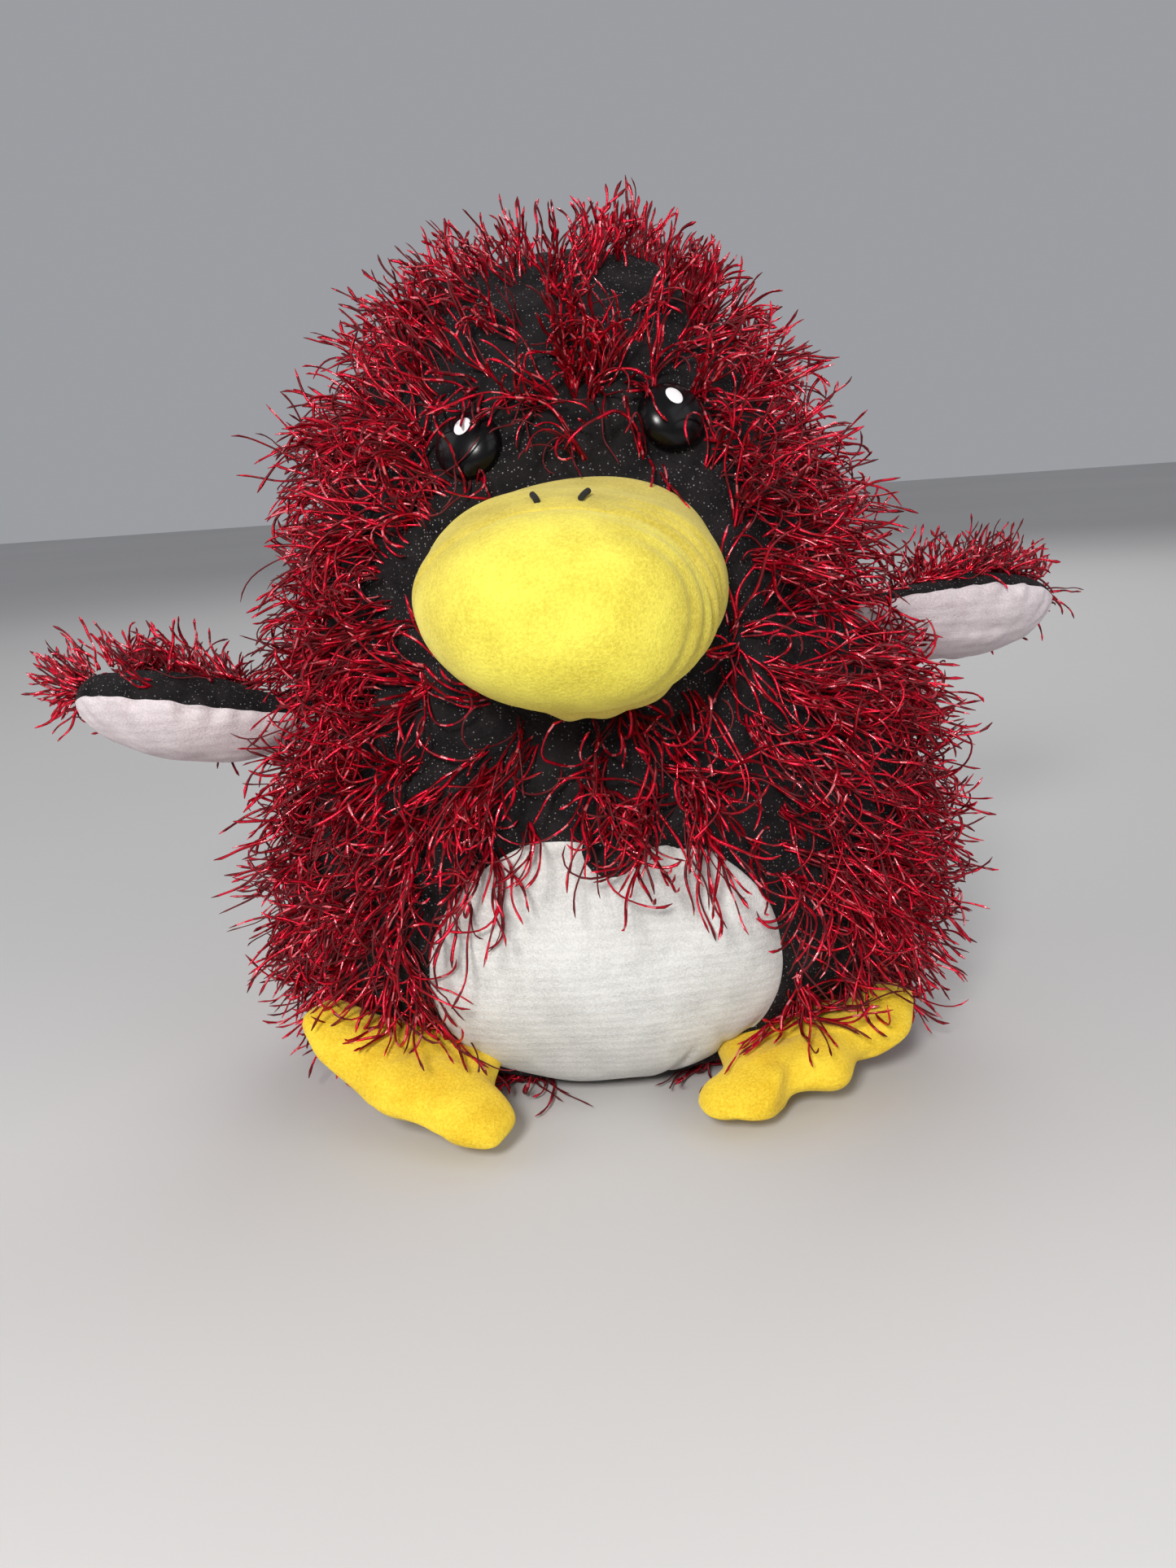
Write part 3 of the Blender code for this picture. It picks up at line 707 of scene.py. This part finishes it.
def to_world(limb, local):
    """Local (outward, across, up) points of a limb, bent by its curl, as world points in mm."""
    origin, axes, curl = LIMBS[limb]
    local = np.array(local, float)
    local[..., 2] += curl * (np.clip(local[..., 0], 0, None) / WING_LENGTH) ** 2
    outer_end = np.clip(local[..., 1] * OUTWARD[limb] / FOOT_HALF, 0, None)
    local[..., 2] += PROP[limb] * outer_end**2
    local = local * (*SHORTEN[limb], 1) + SETTLE[limb]
    return origin + local @ axes


def to_local(limb, p):
    origin, axes, curl = LIMBS[limb]
    local = (p - origin) @ axes.T
    local[..., 2] -= curl * (np.clip(local[..., 0], 0, None) / WING_LENGTH) ** 2
    return local


def wing_chord(u):
    swell = 12.0 + 4.0 * np.sin(np.clip(u / 28, 0, 1) * np.pi / 2)
    ends = np.clip((u - 20) / (WING_LENGTH - 20), 0, 1)
    return swell * (1 - ends**2.6) ** (1 / 2.2)


def wing_height(limb, u, sign):
    top = WING_TOP_RISE[limb] if sign > 0 else WING_UNDER_RISE
    ends = np.clip((u - 20) / (WING_LENGTH - 20), 0, 1)
    root = 0.62 + 0.38 * ramp(u, 0, 16)
    return top * root * (1 - ends**2.6) ** (1 / 2.3)


def wing_surface(limb, u, t, sign):
    """The wing's face on this side: t runs across it, from -1 at one seam to 1 at the other."""
    u, t = np.broadcast_arrays(np.asarray(u, float), t)
    chord, height = wing_chord(u), wing_height(limb, u, sign)
    rise = np.maximum(0.0, 1 - np.abs(t) ** 2.4) ** 0.5
    seed = 31 if sign > 0 else 37
    seed += 1 if limb == "right_wing" else 0
    p = np.stack([u, chord * t, 0 * u], -1)
    lump = 0.45 * waves(p, 16, seed) + 0.2 * waves(p, 6, seed + 9)
    w = sign * (height * rise + lump * rise * ramp(WING_LENGTH - u, 0, 8))
    if sign < 0 and limb == "right_wing":  # the crease along the lining's lower edge
        w = w + 1.4 * dip((t + 0.5) * chord - 1.0, 1.3) * ramp(u, 8, 20) * (1 - ramp(u, 36, 44))
    edge = 1 - 0.05 * (1 - rise) * waves(p + 40, 5, seed + 3)
    return np.stack([u, chord * t * edge, w], -1)


def foot_outline(lobed):
    half = FOOT_HALF
    v = np.linspace(-half, half, 121)
    lobes = 15.0 - lobed + 3.5 * np.cos(v / half * np.pi / 2)
    lobes = lobes + lobed * np.cos(v * TAU / LOBE_SPACING)
    toes = np.stack([lobes, v], -1)
    corner = lobes[-1]
    flank = [(corner * 0.25, half - 1.0), (0.5, half - 6.5), (-1.0, 17.0), (-13.0, 12.0)]
    flank = np.array(flank)
    near = flank[::-1] * (1, -1)
    loop = np.vstack([[(-13.0, 0.0)], near, toes, flank, [(-13.0, 0.0)]])
    run = np.concatenate([[0], np.cumsum(np.linalg.norm(np.diff(loop, axis=0), axis=1))])
    even = np.linspace(0, run[-1], 132, endpoint=False)
    loop = np.stack([np.interp(even, run, loop[:, k]) for k in (0, 1)], -1)
    for _ in range(6):
        loop = (np.roll(loop, 1, 0) + 2 * loop + np.roll(loop, -1, 0)) / 4
    return loop


FOOT_LOOPS = {"left_foot": foot_outline(0.8), "right_foot": foot_outline(2.8)}


def foot_surface(limb, share, sign):
    """Rings of the pad's face on this side, from its seam to its middle."""
    share = np.asarray(share, float)[:, None]
    centre = np.array((4.5, 0.0))
    flat = centre + (FOOT_LOOPS[limb][None] - centre) * share[..., None]
    u, v = flat[..., 0], flat[..., 1]
    rise = np.maximum(0.0, 1 - share**3.2) ** 0.5
    height = (FOOT_TOP_RISE if sign > 0 else FOOT_SOLE_RISE) * rise
    p = np.stack([u, v, 0 * u], -1)
    seed = 51 if limb == "left_foot" else 58
    height = height + rise * (0.5 * waves(p, 14, seed) + 0.2 * waves(p, 6, seed + 1))
    if sign > 0:
        toes = ramp(u, 6, 14) * (0.4 if limb == "left_foot" else 1.0)
        for line in (-LOBE_SPACING / 2, LOBE_SPACING / 2):
            height = height - 1.8 * toes * rise * dip(v - line, 1.7)
    else:
        height = np.minimum(height, FOOT_SOLE_RISE)
    return np.stack([u, v, sign * height], -1)


def build_limbs():
    u = WING_LENGTH * np.sin(np.linspace(0, np.pi / 2, 40))
    u = np.concatenate([np.linspace(-9, 0, 7)[:-1], u])
    u[-1] -= 0.05
    across = -np.cos(np.linspace(0, np.pi, 37))
    for limb in ("left_wing", "right_wing"):
        top, under = (wing_surface(limb, u[:, None], across[None, :], sign) for sign in (1, -1))
        held = np.where(u[:, None] < 1, 1.0, 0.0) * np.ones((1, 72))
        held[:, [0, 36]] = SEAM_HOLD
        skin = np.concatenate([top, under[:, ::-1][:, 1:-1]], axis=1)
        skin = stuffed(skin * STUFFED_FROM, held, LIMB_PRESSURE)
        faces = (skin[:, :37], np.concatenate([skin[:, 36:], skin[:, :1]], axis=1))
        for face, layer, finish, slot in zip(
            faces, ("outer", "lining"), (KNIT, LINING), ("black_knit", "pale_velour")
        ):
            middle = face[:, ::-1][:, 1:-1] * (1, 1, 0)
            rings = to_world(limb, np.concatenate([face, middle], axis=1))
            limb_piece(limb, layer, rings, finish)
    for limb in ("left_foot", "right_foot"):
        share = np.sin(np.linspace(np.pi / 2, 0.04, 15))
        top, under = (foot_surface(limb, share, sign) for sign in (1, -1))
        held = np.where(FOOT_LOOPS[limb][:, 0] < -3, 1.0, 0.0) * np.ones((29, 1))
        held[14] = np.maximum(held[14], SEAM_HOLD)
        skin = np.concatenate([top[::-1], under[1:]]) * STUFFED_FROM
        skin = stuffed(skin, held, LIMB_PRESSURE)
        for face, layer in ((skin[14::-1], "upper"), (skin[14:], "sole")):
            rings = np.concatenate([face[:0:-1] * (1, 1, 0), face])
            rings = to_world(limb, rings)
            rings[..., 2] = np.maximum(rings[..., 2], 0.3)
            limb_piece(limb, layer, rings, FOOT_FLEECE)


def limb_piece(limb, layer, rings, finish):
    piece = loft_piece(f"{limb}_{layer}_skin", rings, [finish], subdivide=True)
    follow_limb(piece)
    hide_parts(f"{limb}_{layer}")
    if layer in ("outer", "upper"):
        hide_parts(f"{limb}_fill")


def follow_limb(piece):
    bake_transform(piece)


# Yarn -------------------------------------------------------------------------------------

BEAK_AXES = BEAK_TURNED.T  # rows: across, up, along


def oval(centre, axes, radii):
    return np.array(centre, float), np.array(axes, float), np.array(radii, float)


def limb_oval(name, out, radii):
    origin, axes, _ = LIMBS[name]
    return oval(origin + axes[0] * out, axes, radii)


BEAK_OVAL = oval(BEAK_START + 30.0 * BEAK_TURNED[:, 2], BEAK_AXES, (31.5, 22.3, 34.0))
FOOT_OVALS = [limb_oval(f"{side}_foot", 4.0, (18.0, 30.5, 8.6)) for side in ("left", "right")]
WING_OVALS = [limb_oval(f"{side}_wing", 24.0, (28.0, 17.5, 12.0)) for side in ("left", "right")]


def eye_ovals():
    rows = [eye_matrix(sign) for sign in (-1, 1)]
    return [
        oval(
            np.array(m.translation) / MM, np.array(m.to_3x3().transposed()), (7.6, 7.6, 5.9)
        )
        for m in rows
    ]


def clear_of_body(p, room):
    """Moves points that lie in the body, or nearer to it than room, out along its normal."""
    belly = 4.0 * (1 - ramp(in_belly(p), 0.95, 1.05)) * np.minimum(room, 1.0)
    room = room + relief(p) + belly
    for _ in range(2):
        z = np.clip(p[:, 2], 1.0, TOP_Z - 0.3)
        width = half_width(z)
        slope = (half_width(z + 0.25) - half_width(z - 0.25)) / 0.5
        x, y = p[:, 0], (p[:, 1] - BODY_Y) / DEPTH
        reach = np.hypot(x, y) + 1e-6
        gap = (reach - width) / np.sqrt(1 + slope**2) + np.maximum(p[:, 2] - z, 0)
        n = unit(np.stack([x / reach, y / reach / DEPTH, -slope], -1))
        p = p + n * np.maximum(room - gap, 0)[:, None]
    p[:, 1] = np.minimum(p[:, 1], FARTHEST_BACK)
    p[:, 2] = np.maximum(p[:, 2], 1.2)
    return p


def clear_of_ovals(p, ovals):
    for centre, axes, radii in ovals:
        local = (p - centre) @ axes.T / radii
        reach = np.linalg.norm(local, axis=1, keepdims=True) + 1e-6
        local = np.where(reach < 1, local / reach, local)
        p = local * radii @ axes + centre
    return p


def grow(roots, heading, bend, length, curl, steps, ovals, room=0.9, sag=0.0):
    """Centre lines (strands, steps + 1, 3) that leave their roots along heading.

    They curl about bend, sag, and keep out of the body and the ovals.
    """
    count = len(roots)
    heading = unit(heading)
    axis = unit(np.cross(heading, bend))
    other = np.cross(heading, axis)
    phase = rng.uniform(0, TAU, (count, 2))
    p, d = roots.copy(), heading
    line = [p.copy()]
    step = (length / steps)[:, None]
    for k in range(steps):
        t = (k + 0.5) / steps
        turn = axis * (curl * (0.35 + 1.3 * t) / steps)[:, None]
        sway = (2.4 / steps) * np.sin(phase[:, :1] + 8 * t)
        turn = turn + other * sway + axis * (1.6 / steps) * np.sin(phase[:, 1:] + 13 * t)
        d = unit(d + np.cross(turn, d) + sag / steps * np.array((0, 0, -1.0)))
        moved = p + d * step
        if room:
            moved = clear_of_body(moved, room * min(1.0, 0.2 + 2.0 * t))
        moved = clear_of_ovals(moved, ovals)
        d = unit(moved - p)
        p = p + d * step
        p[:, 2] = np.maximum(p[:, 2], 0.8)
        line.append(p.copy())
    return np.stack(line, 1)


def tubes(lines, radius, flat, twist, sides, taper):
    """Rings of points round centre lines, turning as they go, with slightly swollen tips."""
    count, stations = lines.shape[:2]
    along = unit(np.gradient(lines, axis=1))
    side = unit(np.cross(along[:, 0], rng.normal(size=(count, 3))))
    carried = [side]
    for k in range(1, stations):
        side = unit(side - (side * along[:, k]).sum(-1, keepdims=True) * along[:, k])
        carried.append(side)
    side = np.stack(carried, 1)
    other = np.cross(along, side)
    t = np.linspace(0, 1, stations)[None, :]
    size = radius[:, None] * (1 - taper * t**4 + 0.3 * dip(t - 0.93, 0.05))
    size = size * np.where(t == 0, 0.6, 1) * np.where(t == 1, 0.4, 1)
    spin = twist[:, None] * t + rng.uniform(0, TAU, (count, 1))
    rings = []
    for k in range(sides):
        a = TAU * k / sides
        x, y = np.cos(a) * size, np.sin(a) * size * flat
        u, v = x * np.cos(spin) - y * np.sin(spin), x * np.sin(spin) + y * np.cos(spin)
        rings.append(lines + side * u[..., None] + other * v[..., None])
    points = np.stack(rings, 2)  # strand, station, side
    at = np.arange(count * stations * sides).reshape(count, stations, sides)
    after = np.roll(at, -1, axis=2)
    quads = np.stack([at[:, :-1], after[:, :-1], after[:, 1:], at[:, 1:]], -1)
    return points.reshape(-1, 3), quads, at[:, 0, ::-1], at[:, -1, :]


def strand_piece(name, lines, radius, palette):
    """One mesh of many two-ply strands: the plies' two reds take turns round each strand, partly
    the yarn's own reds and partly painted highlight and shade along the twist.
    """
    sides = 4
    points, quads, first, last = tubes(lines, radius, 0.7, 9.0 * radius, sides, 0.3)
    count, segments = quads.shape[:2]
    # Painted highlight and shade: the two reds take turns along the strand as its twist catches
    # the light.
    ply_and_twist_light = (np.arange(segments)[:, None] + np.arange(sides)[None, :]) % 4 // 2
    slots = palette[:, ply_and_twist_light]
    # Painted highlight: some faces of the brightest red get the glint red.
    glint = (rng.random(slots.shape) < 0.22) & (slots == 0)
    slots = np.where(glint, 3, slots)
    faces = np.concatenate([quads.reshape(-1, 4), first, last])
    # Painted highlight: the tips of strands whose first red is the brightest get the glint red,
    # as if lit at their ends.
    ends = np.minimum(palette[:, 0], 2)
    slots = np.concatenate([slots.ravel(), palette[:, 1], np.where(ends == 0, 3, ends)])
    piece = mesh_piece(name, points, faces, None, YARNS, slots)
    return piece


def pick_reds(count):
    """Each strand's two reds, as material slots: sparkling, plain red, or a matt maroon wisp; the
    lighter and darker red take turns along the twist, partly as painted highlight and shade.
    """
    kind = rng.random(count)
    palette = np.stack([np.where(kind < 0.62, 0, 1), np.where(kind < 0.35, 1, 2)], -1)
    wisp = kind > 0.80
    palette[wisp] = (2, 4)
    return palette, rng.uniform(0.29, 0.41, count) * np.where(wisp, 0.7, 1)


def roots_on_body(count):
    """Even random places on the egg, as angles and heights."""
    found = []
    while sum(len(f[0]) for f in found) < count:
        angle, z = rng.uniform(-np.pi, np.pi, 4000), rng.uniform(2.0, TOP_Z - 0.4, 4000)
        wide = np.linalg.norm(egg(angle + 0.01, z) - egg(angle - 0.01, z), axis=-1) / 0.02
        middle = np.clip(z, 0.5, TOP_Z - 0.5)
        tall = np.linalg.norm(egg(angle, middle + 0.2) - egg(angle, middle - 0.2), axis=-1) / 0.4
        chosen = rng.random(4000) < wide * tall / 130.0
        found.append((angle[chosen], z[chosen]))
    return tuple(np.concatenate([f[k] for f in found])[:count] for k in (0, 1))


def growth(p):
    """Share of the tufts that grow here.

    None at the beak, eyes, belly and limb roots, and they are patchy on the chest.
    """
    across, up, _ = ((p - BEAK_OVAL[0]) @ BEAK_AXES.T).T
    front = p[:, 1] < BODY_Y
    beak = np.hypot(across / 31.0, up / 22.0)
    keep = np.where(front, ramp(beak, 0.98, 1.22), 1.0)
    between = front & (np.abs(across) < 27) & (up > 0) & (p[:, 2] < 150)
    keep = np.where(between, keep * 0.4, keep)
    for sign in (-1, 1):
        eye = np.hypot(p[:, 0] - sign * EYE_X, p[:, 2] - EYE_Z)
        keep = np.where(front, keep * ramp(eye, 6.8, 8.0), keep)
    keep = keep * ramp(in_belly(p), 1.0, 1.03)
    patch = ramp(waves(p, 13, 71) + 0.35, -0.6, 0.5)
    chest = front & (p[:, 2] < 96) & (np.abs(p[:, 0]) < 50)
    keep = keep * np.where(chest, 0.3 + 0.6 * patch, 0.35 + 0.65 * patch)
    for name in LIMBS:
        local = to_local(name, p)
        near = np.hypot(local[:, 1] / (13 if "wing" in name else 20), local[:, 2] / 9)
        keep = np.where(np.abs(local[:, 0]) < 14, keep * ramp(near, 0.75, 1.05), keep)
    return keep


def body_strands(tufts):
    angle, z = roots_on_body(tufts)
    grows = rng.random(tufts) < growth(egg(angle, z))
    angle, z = angle[grows], z[grows]
    tuft = np.repeat(np.arange(len(angle)), rng.integers(3, 9, len(angle)))
    count, locks = len(tuft), len(angle)
    angle = angle[tuft] + rng.normal(0, 0.012, count)
    z = np.clip(z[tuft] + rng.normal(0, 0.9, count), 2.0, TOP_Z - 0.5)
    n = egg_normal(angle, z)
    p = egg(angle, z)
    p = p + n * (relief(p) - 0.6)[:, None]

    # Combed away from the beak on the front and down the back, standing up on the crown.
    away = p - (BEAK_OVAL[0] + np.array((0, 20, 6.0)))
    away = unit(away - (away * n).sum(-1, keepdims=True) * n)
    down = unit(np.array((0, 0.05, -1.0)) + n * n[:, 2:3])
    behind = ramp(p[:, 1], 0, 50)[:, None]
    comb = unit(away * (1 - behind) + down * behind)
    own = 1.15 * rng.normal(size=(locks, 3))[tuft] + 0.22 * rng.normal(size=(count, 3))
    own = own - (own * n).sum(-1, keepdims=True) * n
    crown = ramp(p[:, 2], 138, 172)
    flank = dip(p[:, 1] - 5, 40) * ramp(150 - p[:, 2], 0, 20)
    lift = rng.uniform(0.06, 0.75, locks)[tuft] + rng.normal(0, 0.1, count)
    lift = np.clip(lift, 0.08, 1.2) * (1 + 1.0 * crown) * (1 - 0.45 * behind[:, 0])
    lift = lift * (1 - 0.5 * flank)
    heading = comb * (1 - 0.35 * crown)[:, None] + own * 0.6 + n * lift[:, None]
    heading = heading + np.array((0, 0, 0.8)) * crown[:, None]
    length = np.clip(rng.normal(20.5, 4.2, count), 9, 30) * (1 - 0.36 * crown)
    length = length * (1 - 0.2 * behind[:, 0])
    curl = np.abs(rng.normal(1.0, 0.7, locks))[tuft] + rng.normal(0, 0.35, count)
    loops = rng.random(count) < 0.33 * (1 - crown)
    curl = np.where(loops, curl + rng.uniform(1.5, 3.5, count), curl) * (1 - 0.5 * crown)
    bend = rng.normal(size=(locks, 3))[tuft] + 0.4 * rng.normal(size=(count, 3))
    bend = bend + n * 0.6
    ovals = [BEAK_OVAL, *FOOT_OVALS, *WING_OVALS, *eye_ovals()]
    return p, grow(p, heading, bend, length, curl, YARN_STEPS, ovals, sag=0.55)


# Each lock's x and z, how far it leans in degrees, and how many strands it has.
BROW_LOCKS = [
    (-25, 154, -14, 6),
    (-17, 155, 8, 6),
    (-9, 152, -10, 5),
    (6, 153, 12, 6),
    (13, 155, 20, 5),
    (26, 153, 10, 6),
    (29, 148, 16, 5),
    (-30, 147, -12, 5),
    (1, 146, 6, 4),
    (17, 139, 8, 3),
]


def brow_strands():
    """The locks that hang from the forehead over the eyes and down beside the beak."""
    rows = [spot for spot in BROW_LOCKS for _ in range(spot[3])]
    x, z, lean = (np.array([row[k] for row in rows], float) for k in range(3))
    x, z = x + rng.normal(0, 1.3, len(x)), z + rng.normal(0, 1.0, len(x))
    angle = np.arcsin(x / half_width(z))
    n = egg_normal(angle, z)
    p = egg(angle, z)
    p = p + n * (relief(p) - 0.6)[:, None]
    sideways = np.tan(np.radians(lean)) + rng.normal(0, 0.3, len(x))
    heading = np.stack([sideways, 0 * x, -np.ones(len(x))], -1) + n * 0.9
    length = rng.uniform(9, 15, len(x))
    bend = rng.normal(size=(len(x), 3))
    ovals = [BEAK_OVAL, *eye_ovals()]
    curl = rng.normal(0.8, 0.5, len(x))
    return p, grow(p, heading, bend, length, curl, YARN_STEPS, ovals, sag=0.7)


def build_yarn():
    p, lines = body_strands(BODY_TUFTS)
    brow, brow_lines = brow_strands()
    p, lines = np.concatenate([p, brow]), np.concatenate([lines, brow_lines])
    palette, radius = pick_reds(len(p))
    front = p[:, 1] < BODY_Y
    left = p[:, 0] < 0
    crown = p[:, 2] > 166
    high = (p[:, 2] > 118) & ~crown
    low = p[:, 2] <= 62
    middle = ~(crown | high | low)
    groups = {"crown": crown}
    for name, level in (("upper", high), ("middle", middle), ("lower", low)):
        groups[f"{name}_front_left"] = level & front & left
        groups[f"{name}_front_right"] = level & front & ~left
        groups[f"{name}_back_left"] = level & ~front & left
        groups[f"{name}_back_right"] = level & ~front & ~left
    for name, pick in groups.items():
        piece = strand_piece(f"yarn_{name}", lines[pick], radius[pick], palette[pick])
        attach(piece, "torso")
        if name == "crown":
            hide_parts("crown_fringe")
    print("strands on the body", len(p))

    build_wing_yarn("left_wing", -1)
    build_wing_yarn("right_wing", 1)


def build_wing_yarn(limb, rear):
    axes = LIMBS[limb][1]
    locks = WING_TUFTS
    tuft = np.repeat(np.arange(locks), STRANDS_IN_WING_TUFT)
    count = len(tuft)
    u = rng.uniform(4, WING_LENGTH - 0.6, locks)[tuft] + rng.normal(0, 0.6, count)
    foremost = 0.3 if limb == "left_wing" else -0.9
    back = rng.uniform(foremost, 0.97, locks)
    back[:16] = rng.uniform(-0.97, -0.3, 16)
    t = np.clip(back[tuft] + rng.normal(0, 0.04, count), -0.97, 0.97) * rear
    u = np.clip(u, 3, WING_LENGTH - 0.5)
    root = to_world(limb, wing_surface(limb, u, t, 1))
    near = to_world(limb, wing_surface(limb, u, t * 0.96, 1)) - root
    far = to_world(limb, wing_surface(limb, u - 0.5, t, 1)) - root
    n = unit(np.cross(near, far))
    n = np.where((n @ axes[2] < 0)[:, None], -n, n)
    heading = axes[0] * rng.uniform(0.2, 1.1, (locks, 1))[tuft] + axes[1] * rear * 0.25
    heading = heading + n * rng.uniform(0.4, 1.3, (locks, 1))[tuft]
    heading = heading + 0.45 * rng.normal(size=(locks, 3))[tuft]
    heading = heading + 0.2 * rng.normal(size=(count, 3))
    length = rng.uniform(8, 15, count)
    bend = rng.normal(size=(locks, 3))[tuft]
    curl = np.abs(rng.normal(0.8, 0.6, count))
    lines = grow(root - n * 0.6, heading, bend, length, curl, 14, [], room=0)
    palette, radius = pick_reds(count)
    piece = strand_piece(f"yarn_{limb}", lines, radius, palette)
    follow_limb(piece)


# Stage ------------------------------------------------------------------------------------


def build_stage():
    bpy.ops.mesh.primitive_plane_add(size=8.0, location=(0, 0, -0.0002))
    floor = bpy.context.object
    floor.name = "floor"
    made, tree, shader = new_material("floor_pale", (0.6, 0.59, 0.58), 0.75)
    soft = texture(tree, "ShaderNodeTexNoise", 900.0, Detail=2.0)
    shades = [(0.3, (0.56, 0.55, 0.54)), (0.7, (0.62, 0.61, 0.6))]
    tree.links.new(colour_ramp(tree, soft.outputs["Fac"], shades), shader.inputs["Base Color"])
    floor.data.materials.append(made)

    world = bpy.data.worlds.new("studio")
    bpy.context.scene.world = world
    bpy.context.scene.view_settings.view_transform = "Standard"
    world.use_nodes = True
    back = world.node_tree.nodes["Background"]
    back.inputs["Color"].default_value = (0.92, 0.94, 1.0, 1)
    back.inputs["Strength"].default_value = 0.36

    def area(name, place, target, size, power, colour=(1, 1, 1)):
        light = bpy.data.lights.new(name, "AREA")
        light.size, light.energy, light.color = size, power, colour
        item = bpy.data.objects.new(name, light)
        bpy.context.scene.collection.objects.link(item)
        item.location = place
        item.rotation_euler = (Vector(target) - Vector(place)).to_track_quat("-Z", "Y").to_euler()

    target = (0, 0, 0.09)
    area("key", (-0.10, -0.50, 0.34), target, 0.10, 2.6, (1.0, 0.98, 0.96))
    area("fill", (0.9, -0.7, 0.7), target, 0.9, 3.0, (0.95, 0.97, 1.0))
    area("left", (-1.0, -0.1, 0.6), target, 0.8, 2.6)
    area("rim", (0.25, 1.0, 0.9), target, 0.8, 5.0)


def build_camera():
    pitch, roll = math.radians(14), math.radians(4)
    forward = Vector((0, math.cos(pitch), -math.sin(pitch)))
    flat = Vector((1, 0, 0))
    upright = flat.cross(forward)
    right = flat * math.cos(roll) - upright * math.sin(roll)
    up = upright * math.cos(roll) + flat * math.sin(roll)
    camera = bpy.data.cameras.new("camera")
    camera.lens, camera.sensor_width = 29.95, 36.0
    camera.clip_start = 0.01
    item = bpy.data.objects.new("camera", camera)
    bpy.context.scene.collection.objects.link(item)
    turned = Matrix((right, up, -forward)).transposed().to_4x4()
    item.matrix_world = Matrix.Translation((-0.00125, -0.293, 0.140)) @ turned
    bpy.context.scene.camera = item


build_stage()
build_camera()
build_body()
build_belly()
build_beak()
build_eyes()
build_limbs()
build_yarn()

for name, finish in (
    ("eye_washer_left", WASHER),
    ("eye_washer_right", WASHER),
    ("nostril_stitch_left", THREAD),
    ("nostril_stitch_right", THREAD),
    ("closing_thread", THREAD),
):
    frame["nodes"][name].material_slots[0].material = finish
